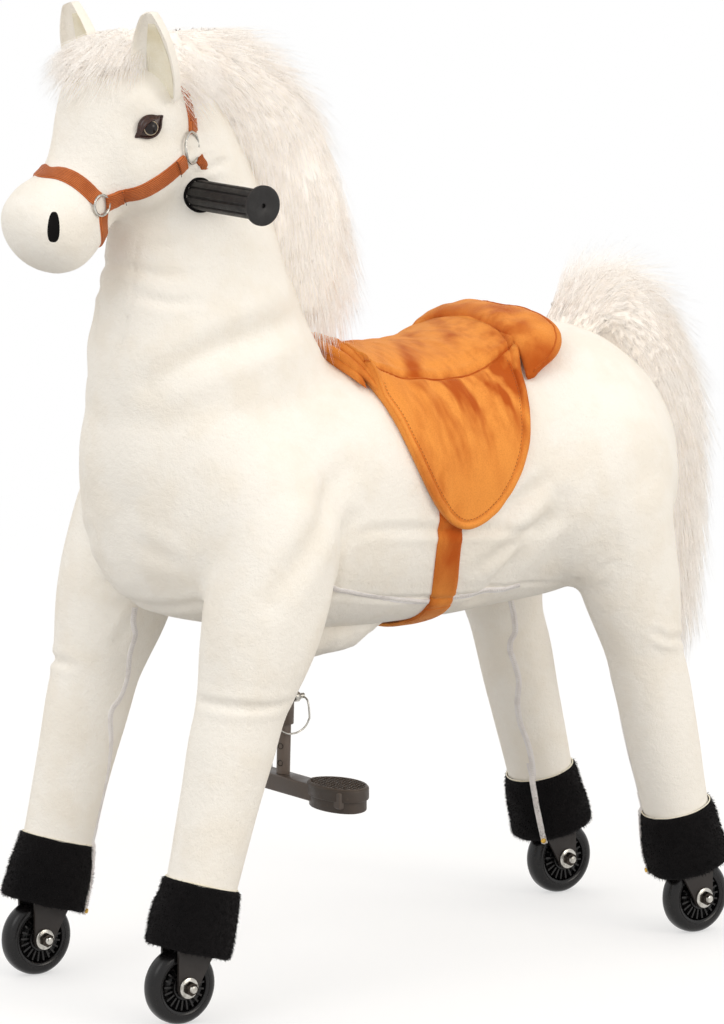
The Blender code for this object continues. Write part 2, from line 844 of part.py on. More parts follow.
def make_stirrup():
    sleeve = rod(
        "stirrup_sleeve",
        stirrup_line(sleeve_bottom),
        stirrup_line(sleeve_top),
        sleeve_radius,
        painted_steel,
    )
    cut(sleeve, stirrup_bore("sleeve_bore", bore_for(post_radius)))
    post = rod(
        "stirrup_post",
        stirrup_line(foot_bar_top + touch_gap),
        stirrup_line(post_top),
        post_radius,
        painted_steel,
    )
    hole = lock_pin_radius + touch_gap
    through = stirrup_line(lock_pin_height)
    for piece, name in ((sleeve, "sleeve"), (post, "post")):
        start, end = through - y_axis * 0.05, through + y_axis * 0.05
        cut(piece, rod(name + "_pin_hole", start, end, hole, count=10))
    spare = stirrup_line(lock_pin_height - 0.050)
    spare_hole = rod("post_spare_hole", spare - y_axis * 0.05, spare, hole, count=10)
    cut(post, spare_hole)

    reach = lock_pin_reach
    profile = [
        (-reach, lock_pin_radius * 0.6),
        (-reach + 0.003, lock_pin_radius),
        (sleeve_radius + 0.001, lock_pin_radius),
        (sleeve_radius + 0.001, lock_pin_radius + 0.0017),
        (sleeve_radius + 0.008, lock_pin_radius + 0.0017),
        (sleeve_radius + 0.008, lock_pin_radius),
        (reach, lock_pin_radius),
    ]
    pin = turned("lock_pin", profile, through, y_axis, 12, zinc_steel)
    rear_eye = through + y_axis * (sleeve_radius + 0.010)
    front_eye = through - y_axis * (reach - 0.004)
    bow = [
        rear_eye,
        rear_eye + Vector((0.010, 0.001, -0.006)),
        rear_eye + Vector((0.013, 0.001, -0.020)),
    ]
    middle = (rear_eye + front_eye) / 2 + Vector((0.013, 0, -0.020))
    half_span = (rear_eye - front_eye).length / 2
    for i in range(1, 8):
        angle = math.pi * i / 8
        y, z = half_span * math.cos(angle), -0.016 * math.sin(angle)
        bow.append(middle + Vector((0, y, z)))
    bow += [front_eye + Vector((0.013, 0, -0.020)), front_eye + Vector((0.010, 0, -0.006))]
    bow.append(front_eye)
    join(pin, swept("lock_pin_bow", bow, [clip_wire_radius] * len(bow), 5))

    low = (-foot_bar_half, post_y - foot_bar_depth / 2, foot_bar_top - foot_bar_height)
    high = (foot_bar_half, post_y + foot_bar_depth / 2, foot_bar_top)
    bar = box("foot_bar", low, high, painted_steel)
    pieces = [sleeve, post, pin, bar]
    for side_name, side in sides.items():
        pieces.append(make_pedal(side_name, side))
    for piece in pieces:
        hang_on(piece, shoulder_axis)


def make_pedal(side_name, side):
    # An oval tread box over the bar's end, with a straight front and a bowed rear.
    outline = []
    for i in range(9):
        angle = math.pi * i / 8
        outline.append((pedal_length / 2 * math.cos(angle), pedal_depth * 0.58 * math.sin(angle)))
    for i in range(1, 6):
        angle = math.pi + math.pi * i / 6
        outline.append((pedal_length / 2 * math.cos(angle), pedal_depth * 0.42 * math.sin(angle)))
    middle_x = side * (pedal_inner + pedal_length / 2)
    centre = Vector((middle_x, post_y + pedal_setback, 0))
    points = [centre + Vector((x, y, 0)) for x, y in outline]
    top = foot_bar_top + pedal_rise
    middle = top - pedal_tread_height
    bottom = foot_bar_top - foot_bar_height - pedal_drop
    pedal = prism("pedal_" + side_name, points, z_axis, middle, top, pedal_plastic)
    base_points = []
    for x, y in outline:
        base_points.append(centre + Vector((x * pedal_base_share, y * pedal_base_share, 0)))
    base = prism(f"pedal_{side_name}_base", base_points, z_axis, bottom, middle + 0.002)
    join(pedal, base)
    ends = sorted((side * 0.02, side * (foot_bar_half + touch_gap)))
    grown = foot_bar_depth / 2 + touch_gap
    low = (ends[0], post_y - grown, foot_bar_top - foot_bar_height - touch_gap)
    high = (ends[1], post_y + grown, foot_bar_top + touch_gap)
    cut(pedal, box(f"pedal_{side_name}_bar_room", low, high))
    return pedal


def make_fork(pair, side_name):
    side = sides[side_name]
    axle, up, reach = leg_frame_of(pair)
    centre = axle + x_axis * side * leg_pairs[pair]["track"] / 2
    name = f"{pair}_{side_name}"
    fore = Vector((0, -up.z, up.y))
    crown_foot = wheel_radius + fork_tyre_clearance
    plate = []
    end_radius = 0.012
    for i in range(9):
        angle = math.pi * i / 8
        plate.append((end_radius * math.cos(angle), -end_radius * math.sin(angle)))
    plate += [
        (-fork_plate_width * 0.42, crown_foot * 0.75),
        (-fork_plate_width / 2, fork_seat()),
        (fork_plate_width / 2, fork_seat()),
        (fork_plate_width * 0.42, crown_foot * 0.75),
    ]
    outer = fork_inner_half + fork_plate_thickness
    outline = [centre + fore * a + up * b for a, b in plate]
    fork = prism(name + "_fork", outline, x_axis, -outer, outer, fork_plastic)
    gap = [(-0.06, -0.06), (0.06, -0.06), (0.06, crown_foot), (-0.06, crown_foot)]
    gap_points = [centre + fore * a + up * b for a, b in gap]
    inner = fork_inner_half
    cut(fork, prism(name + "_fork_gap", gap_points, x_axis, -inner, inner))
    stem_start = centre + up * (fork_seat() - 0.002)
    stem_end = centre + up * (fork_seat() + fork_stem_length)
    join(fork, rod(name + "_fork_stem", stem_start, stem_end, fork_stem_radius))
    bore = bore_for(axle_radius)
    cut(fork, rod(name + "_fork_bore", centre - x_axis * 0.05, centre + x_axis * 0.05, bore))

    bm = bmesh.new()
    half, hub = wheel_width / 2, wheel_hub_width / 2
    wheel_bore = bore_for(axle_radius, running_gap, 20) / (wheel_radius / 0.040)
    profile = [
        (-hub, wheel_bore),
        (-hub, 0.0125),
        (-half * 0.62, 0.0140),
        (-half * 0.62, 0.0250),
        (-half, 0.0300),
        (-half * 0.70, 0.0372),
        (0.0, 0.0400),
        (half * 0.70, 0.0372),
        (half, 0.0300),
        (half * 0.62, 0.0250),
        (half * 0.62, 0.0140),
        (hub, 0.0125),
        (hub, wheel_bore),
    ]
    scale = wheel_radius / 0.040
    rings = []
    for place, radius in profile:
        rings.append(circle(centre + x_axis * place, y_axis, z_axis, radius * scale, 20))
    bridge_rings(bm, rings, looped=True)
    wheel = add_mesh(name + "_wheel", bm, wheel_urethane)

    # Bolt, washers and nut stay together on the fork.
    face = outer + touch_gap
    washer = face + washer_thickness
    nut = washer + nut_height
    nut_radius = nut_across_flats / math.sqrt(3)
    profile = [
        (-nut - bolt_end, axle_radius),
        (-washer, axle_radius),
        (-washer, washer_radius),
        (-face, washer_radius),
        (-face, axle_radius),
        (face, axle_radius),
        (face, washer_radius),
        (washer, washer_radius),
        (washer, axle_radius),
        (nut + bolt_end, axle_radius),
    ]
    bolt = turned(name + "_axle_bolt", profile, centre, x_axis, 10, zinc_steel)
    for i, sign in enumerate((-1, 1)):
        places = sorted((sign * (washer - 0.0003), sign * nut))
        hexagon = [(place, nut_radius) for place in places]
        join(bolt, turned(f"{name}_nut_{i}", hexagon, centre, x_axis, 6, None))

    fork_axis = empty_at(f"{name}_fork_axis", centre)
    for piece in (fork, wheel, bolt):
        hang_on(piece, fork_axis)


def make_handlebar():
    stem_bottom = (0, stem_y, stem_foot_height)
    stem_top = (0, stem_y, bar_height)
    stem = rod("handlebar", stem_bottom, stem_top, stem_radius, painted_steel)
    half = grip_root + grip_length - 0.006
    ends = (Vector((-half, stem_y, bar_height)), Vector((half, stem_y, bar_height)))
    join(stem, rod("handlebar_bar", *ends, bar_radius))
    hang_on(stem, steering_axis)
    for side_name, side in sides.items():
        root = Vector((side * grip_root, stem_y, bar_height))
        away = x_axis * side
        flutes = grip_flutes * 2
        bm = bmesh.new()
        rings = []
        for place in (0.0, grip_length):
            ring = []
            for j in range(flutes):
                angle = 2 * math.pi * j / flutes
                radius = grip_radius - (flute_depth if j % 2 else 0.0)
                spoke = y_axis * math.cos(angle) + z_axis * math.sin(angle)
                ring.append(root + away * place + spoke * radius)
            rings.append(ring)
        bridge_rings(bm, rings)
        grip = add_mesh("grip_" + side_name, bm, grip_rubber)
        disc_low, disc_high = grip_length - 0.001, grip_length + grip_disc_thickness
        disc_profile = [(disc_low, grip_disc_radius), (disc_high, grip_disc_radius)]
        join(grip, turned(f"grip_{side_name}_disc", disc_profile, root, away, 24, None))
        bore_end = root + away * (grip_length - 0.006 + touch_gap)
        room = bar_radius + touch_gap
        cut(grip, rod(f"grip_{side_name}_bore", root - away * 0.01, bore_end, room, count=24))
        hang_on(grip, steering_axis)


def neck_solid(name, finish=None, offset=0.0):
    low, high = neck_joint_height + touch_gap, neck_form["stations"][-1][0]
    return form_solid(name, neck_form, 22, 9, finish, offset, low, high)


def head_solid(name, offset=0.0, finish=None):
    return form_solid(name, head_form, 22, 13, finish, offset)


def make_neck_and_head():
    neck = neck_solid("neck_cover", plush_white)
    cut(neck, head_solid("neck_head_room", cover_gap))
    stem_room = stem_radius + cover_gap
    top = (0, stem_y, bar_height)
    cut(neck, rod("neck_stem_room", (0, stem_y, neck_joint_height - 0.02), top, stem_room))
    reach = 0.15
    ends = (Vector((-reach, stem_y, bar_height)), Vector((reach, stem_y, bar_height)))
    cut(neck, rod("neck_bar_room", *ends, grip_radius + 0.004))
    hang_on(neck, steering_axis)

    head = head_solid("head_cover", 0.0, plush_white)
    room_top = (0, stem_y, bar_height + stem_radius)
    cut(head, rod("head_stem_room", (0, stem_y, 0.6), room_top, stem_room))
    cut(head, rod("head_bar_room", *ends, grip_radius + 0.004))
    hang_on(head, steering_axis)

    mane = form_solid("mane", mane_form, 18, 9, fur_white)
    cut(mane, head_solid("mane_head_room", cover_gap * 3 + strap_thickness))
    cut(mane, neck_solid("mane_neck_room", None, cover_gap))
    hang_on(mane, steering_axis)


def head_place(along, rise, across=0.0):
    return head_form["origin"] + head_form["axis"] * along + head_form["up"] * rise + x_axis * across


def make_ears_and_eyes():
    ear_height, ear_half, ear_cup, ear_wall = 0.082, 0.024, 0.013, 0.006
    rows, columns = 7, 6
    for side_name, side in sides.items():
        base = Vector((side * 0.056, -0.293, 0.944))
        grow = Vector((side * 0.14, -0.26, 1.0)).normalized()
        face = Vector((side * 0.55, -1.0, 0.0))
        face = (face - grow * face.dot(grow)).normalized()
        across = grow.cross(face)
        bm = bmesh.new()
        rings = []
        for i in range(rows + 1):
            share = i / rows
            width = ear_half * math.sin(math.pi * (0.30 + 0.68 * share)) ** 0.8
            front, back = [], []
            for j in range(columns + 1):
                turn = math.radians(75) * (2 * j / columns - 1)
                slide = across * width * math.sin(turn) / math.sin(math.radians(75))
                sink = face * ear_cup * (width / ear_half) * (1 - math.cos(turn)) * 1.3
                centre = base + grow * ear_height * share + slide + sink
                wall = ear_wall * (0.4 + 0.6 * math.cos(turn)) * (1 - 0.5 * share)
                front.append(centre + face * wall / 2)
                back.append(centre - face * wall / 2)
            rings.append(front + back[::-1])
        bridge_rings(bm, rings)
        ear = add_mesh("ear_" + side_name, bm, plush_white)
        cut(ear, head_solid(f"ear_{side_name}_head_room", touch_gap * 1.5))
        cut(ear, crown_room(f"ear_{side_name}_strap_room"))
        hang_on(ear, steering_axis)

        spot = form_point(head_form, 0.014, math.radians(4) if side > 0 else math.radians(176))
        bm = bmesh.new()
        bmesh.ops.create_uvsphere(bm, u_segments=14, v_segments=8, radius=1.0)
        out = Vector((side, -0.35, 0.12)).normalized()
        first, second, along = basis_along(out, y_axis)
        place = Matrix((first, second, along)).transposed().to_4x4()
        size = Matrix.Diagonal((0.0150, 0.0118, 0.0075, 1.0))
        bm.transform(Matrix.Translation(spot) @ place @ size)
        eye = add_mesh("eye_" + side_name, bm, eye_gloss)
        cut(eye, head_solid(f"eye_{side_name}_head_room", touch_gap))
        hang_on(eye, steering_axis)

    bm = bmesh.new()
    bmesh.ops.create_uvsphere(bm, u_segments=14, v_segments=9, radius=1.0)
    size = Matrix.Diagonal((0.024, 0.036, 0.026, 1.0))
    bm.transform(Matrix.Translation(Vector((0, -0.340, 0.972))) @ size)
    forelock = add_mesh("forelock", bm, fur_white)
    cut(forelock, head_solid("forelock_head_room", touch_gap * 1.5))
    hang_on(forelock, steering_axis)


def strip_outline(points, width):
    # A band of one width along points in the plane of the horse's profile.
    left, right = [], []
    count = len(points)
    for i, point in enumerate(points):
        ahead = points[min(i + 1, count - 1)] - points[max(i - 1, 0)]
        ahead.normalize()
        across = Vector((0, -ahead.z, ahead.y)) * (width / 2)
        left.append(point + across)
        right.append(point - across)
    return left + right[::-1]


def strap_on_head(name, points, width, low, high):
    outline = strip_outline([head_place(a, b) for a, b in points], width)
    strap = head_solid(name, cover_gap + strap_thickness, webbing_orange)
    cut(strap, head_solid(name + "_inner", cover_gap))
    keep_inside(strap, prism(name + "_run", outline, x_axis, low, high))
    cut(strap, neck_solid(name + "_neck_room", None, cover_gap * 2))
    return strap


def crown_room(name):
    # The crown strap with room round it, to take out of an ear.
    outline = strip_outline([head_place(a, b) for a, b in crown_run], strap_width)
    room = head_solid(name, cover_gap * 2 + strap_thickness)
    keep_inside(room, prism(name + "_run", outline, x_axis, -halter_reach, halter_reach))
    return room


# Where the halter's straps and rings lie on the head: along its axis, and up from it.
nose_ring = (0.106, -0.018)
cheek_ring = (-0.004, -0.044)
crown_run = [(-0.020, -0.030), (-0.043, -0.010), (-0.056, 0.014), (-0.061, 0.050)]
halter_reach = 0.12


def make_halter():
    over_nose = [(0.094, 0.080), (0.098, 0.040), (nose_ring[0] - 0.001, nose_ring[1] + 0.006)]
    under_jaw = [(nose_ring[0] - 0.002, nose_ring[1] - 0.008), (0.100, -0.045), (0.098, -0.080)]
    wide = halter_reach
    pieces = [
        strap_on_head("noseband", over_nose, strap_width, -wide, wide),
        strap_on_head("jaw_strap", under_jaw, strap_width, -wide, wide),
        strap_on_head("crown_strap", crown_run, strap_width * 0.85, -wide, wide),
    ]
    start = Vector(nose_ring).lerp(Vector(cheek_ring), 0.08)
    end = Vector(nose_ring).lerp(Vector(cheek_ring), 0.90)
    bend = Vector(nose_ring).lerp(Vector(cheek_ring), 0.5) + Vector((0.004, -0.006))
    cheek = [tuple(start), tuple(bend), tuple(end)]
    for side_name, side in sides.items():
        ends = sorted((side * 0.020, side * 0.100))
        name = "cheek_strap_" + side_name
        strap = strap_on_head(name, cheek, strap_width * 0.94, *ends)
        for i, other in enumerate((over_nose, under_jaw, crown_run)):
            outline = strip_outline([head_place(a, b) for a, b in other], strap_width + 0.001)
            cut(strap, prism(f"{name}_room_{i}", outline, x_axis, *ends))
        pieces.append(strap)
        centre = head_place(*cheek_ring)
        across = smooth_row(head_form["stations"], cheek_ring[0])[3]
        out = strap_thickness + cover_gap * 2 + halter_ring_wire
        lean = math.sqrt(max(1 - (cheek_ring[1] / 0.076) ** 2, 0.1))
        centre += x_axis * side * (across * lean + out + 0.0022)
        tilt = Vector((side, 0.30, -0.50)).normalized()
        first, second, along = basis_along(tilt, y_axis)
        bm = bmesh.new()
        rings = []
        for j in range(16):
            angle = 2 * math.pi * j / 16
            spoke = first * math.cos(angle) + second * math.sin(angle)
            middle = centre + spoke * halter_ring_radius
            rings.append(circle(middle, spoke, along, halter_ring_wire, 5))
        bridge_rings(bm, rings, looped=True)
        ring = add_mesh("halter_ring_" + side_name, bm, zinc_steel)
        pieces.append(ring)
    for piece in pieces:
        hang_on(piece, steering_axis)


def make_saddle():
    # Pads follow the horse's back, with the flap over the girth's end.
    inner_flap = cover_gap + girth_thickness + touch_gap
    seat_outline = []
    for x, y in (
        (seat_half_width, seat_front_y),
        (seat_half_width, seat_rear_y),
        (-seat_half_width, seat_rear_y),
        (-seat_half_width, seat_front_y),
    ):
        seat_outline.append(Vector((x, y, 0)))
    seat = prism("saddle_seat", seat_outline, z_axis, 0.55, 0.75, velvet_orange)
    keep_inside(seat, torso_shell("seat_outer", cover_gap + saddle_thickness))
    cut(seat, torso_shell("seat_inner", cover_gap))

    pommel_path, pommel_radii = arch_path(-0.066, 44, 0.008)
    pommel_radii = [(0.021 * r, 0.015 * r) for r in pommel_radii]
    pommel = swept("saddle_pommel", pommel_path, pommel_radii, 12, velvet_orange)
    cut(pommel, torso_shell("pommel_inner", cover_gap))
    pommel_room = box("pommel_seat_room", (-0.2, seat_front_y - touch_gap, 0.5), (0.2, 0.1, 0.8))
    cut(pommel, pommel_room)

    cantle_path, cantle_full = arch_path(0.180, 50, 0.002)
    cantle_radii = []
    for i, full in enumerate(cantle_full):
        share = 2 * i / (len(cantle_full) - 1) - 1
        cantle_radii.append(((0.018 + 0.014 * share * share) * full, 0.026 * full))
    cantle = swept("saddle_cantle", cantle_path, cantle_radii, 14, velvet_orange)
    cut(cantle, torso_shell("cantle_inner", cover_gap))
    cantle_room = box("cantle_seat_room", (-0.2, -0.1, 0.5), (0.2, seat_rear_y + touch_gap, 0.8))
    cut(cantle, cantle_room)

    teardrop = [
        (-0.078, 0.655),
        (-0.070, 0.615),
        (-0.054, 0.562),
        (-0.034, 0.517),
        (-0.010, 0.489),
        (0.018, 0.478),
        (0.046, 0.486),
        (0.074, 0.510),
        (0.098, 0.548),
        (0.114, 0.595),
        (0.122, 0.640),
        (0.118, 0.700),
        (-0.060, 0.700),
    ]
    girth_run = [Vector((0, 0.016, 0.560)), Vector((0, 0.010, 0.430)), Vector((0, -0.004, 0.300))]
    girth = prism(
        "girth_strap", strip_outline(girth_run, girth_width), x_axis, -0.2, 0.2, velvet_orange
    )
    keep_inside(girth, torso_shell("girth_outer", cover_gap + girth_thickness))
    cut(girth, torso_shell("girth_inner", cover_gap))
    for side_name, side in sides.items():
        ends = sorted((side * (seat_half_width + touch_gap), side * 0.20))
        name = "saddle_flap_" + side_name
        flap = prism(name, in_yz(teardrop), x_axis, *ends, velvet_orange)
        keep_inside(flap, torso_shell(name + "_outer", inner_flap + flap_thickness))
        cut(flap, torso_shell(name + "_inner", inner_flap))
        cut(flap, pommel_copy(name + "_pommel_room", pommel_path, pommel_radii))
        cut(flap, pommel_copy(name + "_cantle_room", cantle_path, cantle_radii))


def pommel_copy(name, path, radii):
    grown = [(wide + touch_gap * 2, tall + touch_gap * 2) for wide, tall in radii]
    return swept(name, path, grown, 14)


def arch_path(place, half_angle_deg, lift):
    # An arch over the back at one place, with how full it is at each point.
    path, fullness = [], []
    steps = 12
    for i in range(steps + 1):
        share = 2 * i / steps - 1
        angle = math.pi / 2 + math.radians(half_angle_deg) * share
        forward = 0.030 * share * share
        path.append(form_point(torso_form, place - forward, angle, lift))
        fullness.append(max(1 - abs(share) ** 3.2, 0.12) ** 0.5)
    return path, fullness


def make_tail():
    places = np.cumsum([0.0] + [math.dist(a[:2], b[:2]) for a, b in zip(tail_path, tail_path[1:])])
    stations = [(s, y, z, r) for s, (y, z, r) in zip(places, tail_path)]
    path, radii = [], []
    steps = 13
    for i in range(steps + 1):
        y, z, radius = smooth_row(stations, places[-1] * i / steps)
        path.append((0, y, z))
        radii.append((radius * 0.86, radius))
    tail = swept("tail", path, radii, 12, fur_white)
    cut(tail, torso_shell("tail_torso_room", cover_gap))


make_main_frame()
box("seat_board", *board_corners(), plywood)
make_pin("front", "shoulder_pin")
make_pin("rear", "hip_pin")
make_spring()
make_leg_frame("front")
make_leg_frame("rear")
make_torso()
make_boot()
make_legs("front")
make_legs("rear")
make_stirrup()
for leg_pair in leg_pairs:
    for leg_side in sides:
        make_fork(leg_pair, leg_side)
make_handlebar()
make_neck_and_head()
make_ears_and_eyes()
make_halter()
make_saddle()
make_tail()
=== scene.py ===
import json
import math

import bmesh
import bpy
import numpy as np
from mathutils import Matrix, Vector, noise
from mathutils.bvhtree import BVHTree
from mathutils.kdtree import KDTree

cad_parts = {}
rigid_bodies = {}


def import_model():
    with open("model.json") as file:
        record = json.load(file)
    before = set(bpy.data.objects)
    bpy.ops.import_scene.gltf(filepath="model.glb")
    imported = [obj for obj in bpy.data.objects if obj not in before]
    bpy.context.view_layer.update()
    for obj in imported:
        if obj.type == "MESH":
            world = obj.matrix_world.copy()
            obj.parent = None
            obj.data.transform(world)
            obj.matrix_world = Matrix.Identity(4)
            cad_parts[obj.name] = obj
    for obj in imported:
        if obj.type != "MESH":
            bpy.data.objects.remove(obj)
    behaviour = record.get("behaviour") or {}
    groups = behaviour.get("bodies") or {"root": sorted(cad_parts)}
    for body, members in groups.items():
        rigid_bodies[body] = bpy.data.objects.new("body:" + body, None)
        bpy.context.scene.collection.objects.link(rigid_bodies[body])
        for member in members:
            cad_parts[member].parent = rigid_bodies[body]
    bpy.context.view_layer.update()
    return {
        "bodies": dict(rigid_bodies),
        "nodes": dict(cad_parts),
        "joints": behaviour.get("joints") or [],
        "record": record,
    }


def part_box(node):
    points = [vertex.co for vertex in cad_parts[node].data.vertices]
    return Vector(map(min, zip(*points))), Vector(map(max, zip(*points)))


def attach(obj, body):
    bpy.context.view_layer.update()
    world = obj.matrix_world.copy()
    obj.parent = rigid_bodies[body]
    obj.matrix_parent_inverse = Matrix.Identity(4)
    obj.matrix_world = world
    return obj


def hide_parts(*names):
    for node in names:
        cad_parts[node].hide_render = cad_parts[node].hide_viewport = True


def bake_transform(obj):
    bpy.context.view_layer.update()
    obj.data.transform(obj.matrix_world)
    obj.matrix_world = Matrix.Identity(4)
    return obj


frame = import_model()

xAxis, yAxis, zAxis = Vector((1, 0, 0)), Vector((0, 1, 0)), Vector((0, 0, 1))
sides = {"Left": 1, "Right": -1}
fullTurn = 2 * math.pi


# Camera, light and floor

view = {
    "place": (5.58658912, -4.05075274, 1.63970313),
    "azimuth": 53.988,
    "elevation": 9.370,
    "lens": 233.84,
    "shift": (-0.01105, -0.02180),
}
# The sky's strength, then each lamp as its place, size, power and tint
light = {
    "sky": 1.01,
    "keyLight": ((1.0, -3.6, 3.4), 2.6, 32.0, "#FFFFFF"),
    "fillLight": ((4.4, 1.6, 2.2), 2.4, 54.0, "#FFF6EA"),
    "aim": (0, 0, 0.55),
    "floorAlbedo": 0.46,
    "floorGlow": 0.54,
}
pureWhite = (1, 1, 1, 1)


def srgb(text):
    channels = [int(text[i : i + 2], 16) / 255 for i in (1, 3, 5)]
    linear = [c / 12.92 if c <= 0.04045 else ((c + 0.055) / 1.055) ** 2.4 for c in channels]
    return (*linear, 1.0)


def addNode(tree, kind, inputs=None, out=0, **settings):
    # Adds a node and gives the one of its outputs that is asked for
    node = tree.nodes.new(kind)
    for key, value in settings.items():
        setattr(node, key, value)
    for key, value in (inputs or {}).items():
        if isinstance(value, bpy.types.NodeSocket):
            tree.links.new(value, node.inputs[key])
        else:
            node.inputs[key].default_value = value
    return node.outputs[out] if node.outputs else node


def figure(tree, operation, first, second, **settings):
    inputs = {0: first, 1: second}
    return addNode(tree, "ShaderNodeMath", inputs, operation=operation, **settings)


def vectors(tree, operation, first, second):
    inputs = {0: first, 3 if operation == "SCALE" else 1: second}
    return addNode(tree, "ShaderNodeVectorMath", inputs, operation=operation)


def seenRays(tree):
    # 1 where the camera sees a surface directly, in a reflection or through glass
    rays = addNode(tree, "ShaderNodeLightPath").node.outputs
    seen = rays["Is Camera Ray"]
    for name in ("Is Glossy Ray", "Is Transmission Ray"):
        seen = figure(tree, "MAXIMUM", seen, rays[name])
    return seen


def emptyTree(owner):
    owner.use_nodes = True
    owner.node_tree.nodes.clear()
    return owner.node_tree


def linked(name, data):
    made = bpy.data.objects.new(name, data)
    bpy.context.scene.collection.objects.link(made)
    return made


def makeView():
    lens = bpy.data.cameras.new("photoCamera")
    lens.lens = view["lens"]
    lens.sensor_width = 36
    lens.shift_x, lens.shift_y = view["shift"]
    lens.clip_end = 60
    holder = linked("photoCamera", lens)
    holder.location = view["place"]
    tilt = math.radians(90 - view["elevation"])
    holder.rotation_euler = (tilt, 0, math.radians(view["azimuth"]))
    bpy.context.scene.camera = holder
    bpy.context.scene.view_settings.view_transform = "Standard"


def makeLamp(name):
    place, size, power, tint = light[name]
    lamp = bpy.data.lights.new(name, "AREA")
    lamp.shape = "DISK"
    lamp.size, lamp.energy, lamp.color = size, power, srgb(tint)[:3]
    holder = linked(name, lamp)
    holder.location = place
    aim = Vector(light["aim"]) - Vector(place)
    holder.rotation_euler = aim.to_track_quat("-Z", "Y").to_euler()


def makeStage():
    world = bpy.data.worlds.new("studio")
    bpy.context.scene.world = world
    tree = emptyTree(world)
    sky = {"Color": srgb("#FFFCF8"), "Strength": light["sky"]}
    soft = addNode(tree, "ShaderNodeBackground", sky)
    white = addNode(tree, "ShaderNodeBackground", {"Color": pureWhite, "Strength": 1.0})
    mixed = addNode(tree, "ShaderNodeMixShader", {0: seenRays(tree), 1: soft, 2: white})
    addNode(tree, "ShaderNodeOutputWorld", {"Surface": mixed})
    makeLamp("keyLight")
    makeLamp("fillLight")

    bm = bmesh.new()
    bmesh.ops.create_circle(bm, cap_ends=True, segments=96, radius=14)
    floor = meshFrom("studioFloor", bm)
    # Matt paper: part of its white is light that only the camera sees, so that shadows stay soft
    paper = bpy.data.materials.new("mattPaperSweep")
    tree = emptyTree(paper)
    seen = seenRays(tree)
    place = addNode(tree, "ShaderNodeTexCoord", out="Object")
    far = addNode(tree, "ShaderNodeVectorMath", {0: place}, "Value", operation="LENGTH")
    span = {0: far, 1: 0.8, 2: 3.0}
    fade = addNode(tree, "ShaderNodeMapRange", span, interpolation_type="SMOOTHSTEP")
    matt = addNode(tree, "ShaderNodeBsdfDiffuse", {"Color": (light["floorAlbedo"],) * 3 + (1,)})
    strength = figure(tree, "MULTIPLY", seen, light["floorGlow"])
    glow = addNode(tree, "ShaderNodeEmission", {"Color": pureWhite, "Strength": strength})
    near = addNode(tree, "ShaderNodeAddShader", {0: matt, 1: glow})
    white = addNode(tree, "ShaderNodeEmission", {"Color": pureWhite, "Strength": 1.0})
    share = figure(tree, "MULTIPLY", fade, seen)
    sheet = addNode(tree, "ShaderNodeMixShader", {0: share, 1: near, 2: white})
    addNode(tree, "ShaderNodeOutputMaterial", {"Surface": sheet})
    floor.data.materials.append(paper)


# Mesh helpers

def declare(pieces, body, slot, *nodes, fill=None):
    # What each piece rides and the CAD nodes it stands for; its material slot and stuffing are not
    # used
    for piece in pieces:
        if nodes:
            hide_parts(*nodes)
        if body:
            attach(piece, body)


def discard(*objects):
    for obj in objects:
        bpy.data.objects.remove(obj)


def meshFrom(name, bm, finish=None, smooth=True):
    mesh = bpy.data.meshes.new(name)
    bm.to_mesh(mesh)
    bm.free()
    if smooth:
        mesh.shade_smooth()
    if finish:
        mesh.materials.append(finish)
    return linked(name, mesh)


def meshOf(name, points, faces, finish=None, uvs=None, sharp=None):
    mesh = bpy.data.meshes.new(name)
    mesh.from_pydata([tuple(p) for p in points], [], faces)
    if uvs is not None:
        layer = mesh.uv_layers.new(name="UVMap")
        for loop in mesh.loops:
            layer.data[loop.index].uv = uvs[loop.vertex_index]
    bm = bmesh.new()
    bm.from_mesh(mesh)
    bmesh.ops.remove_doubles(bm, verts=bm.verts, dist=1e-6)
    bmesh.ops.recalc_face_normals(bm, faces=bm.faces)
    bm.to_mesh(mesh)
    bm.free()
    mesh.shade_smooth()
    if sharp:
        mesh.set_sharp_from_angle(angle=math.radians(sharp))
    if finish:
        mesh.materials.append(finish)
    return linked(name, mesh)


def gridFaces(rows, columns, closedRows=False, closedColumns=False):
    faces = []
    for i in range(rows if closedRows else rows - 1):
        for j in range(columns if closedColumns else columns - 1):
            a, b, k = i * columns, ((i + 1) % rows) * columns, (j + 1) % columns
            faces.append((a + j, a + k, b + k, b + j))
    return faces


def cappedFaces(rows, count):
    # Rings of points joined into a pipe with flat ends
    last = (rows - 1) * count
    ends = [tuple(range(count)), tuple(range(last, last + count))]
    return gridFaces(rows, count, closedColumns=True) + ends


def domedFaces(rows, count):
    # Rings joined into a shell whose two middle points come after them
    faces = gridFaces(rows, count, closedColumns=True)
    middle, last = rows * count, (rows - 1) * count
    faces += [(middle, (j + 1) % count, j) for j in range(count)]
    return faces + [(middle + 1, last + j, last + (j + 1) % count) for j in range(count)]


def evaluated(obj):
    graph = bpy.context.evaluated_depsgraph_get()
    return bpy.data.meshes.new_from_object(obj.evaluated_get(graph))


def finishOff(obj, *changes):
    # Modifiers on a piece, applied at once: each is (kind, settings)
    for kind, settings in changes:
        modifier = obj.modifiers.new(kind, kind)
        for key, value in settings.items():
            setattr(modifier, key, value)
    done = evaluated(obj)
    obj.modifiers.clear()
    obj.data = done
    done.shade_smooth()


def sharpen(obj, angle=50):
    obj.data.set_sharp_from_angle(angle=math.radians(angle))
    return obj


def merged(name, pieces):
    # Several meshes of one finish as one piece
    bm = bmesh.new()
    for piece in pieces:
        bm.from_mesh(piece.data)
    finish = pieces[0].data.materials[0]
    discard(*pieces)
    return sharpen(meshFrom(name, bm, finish))


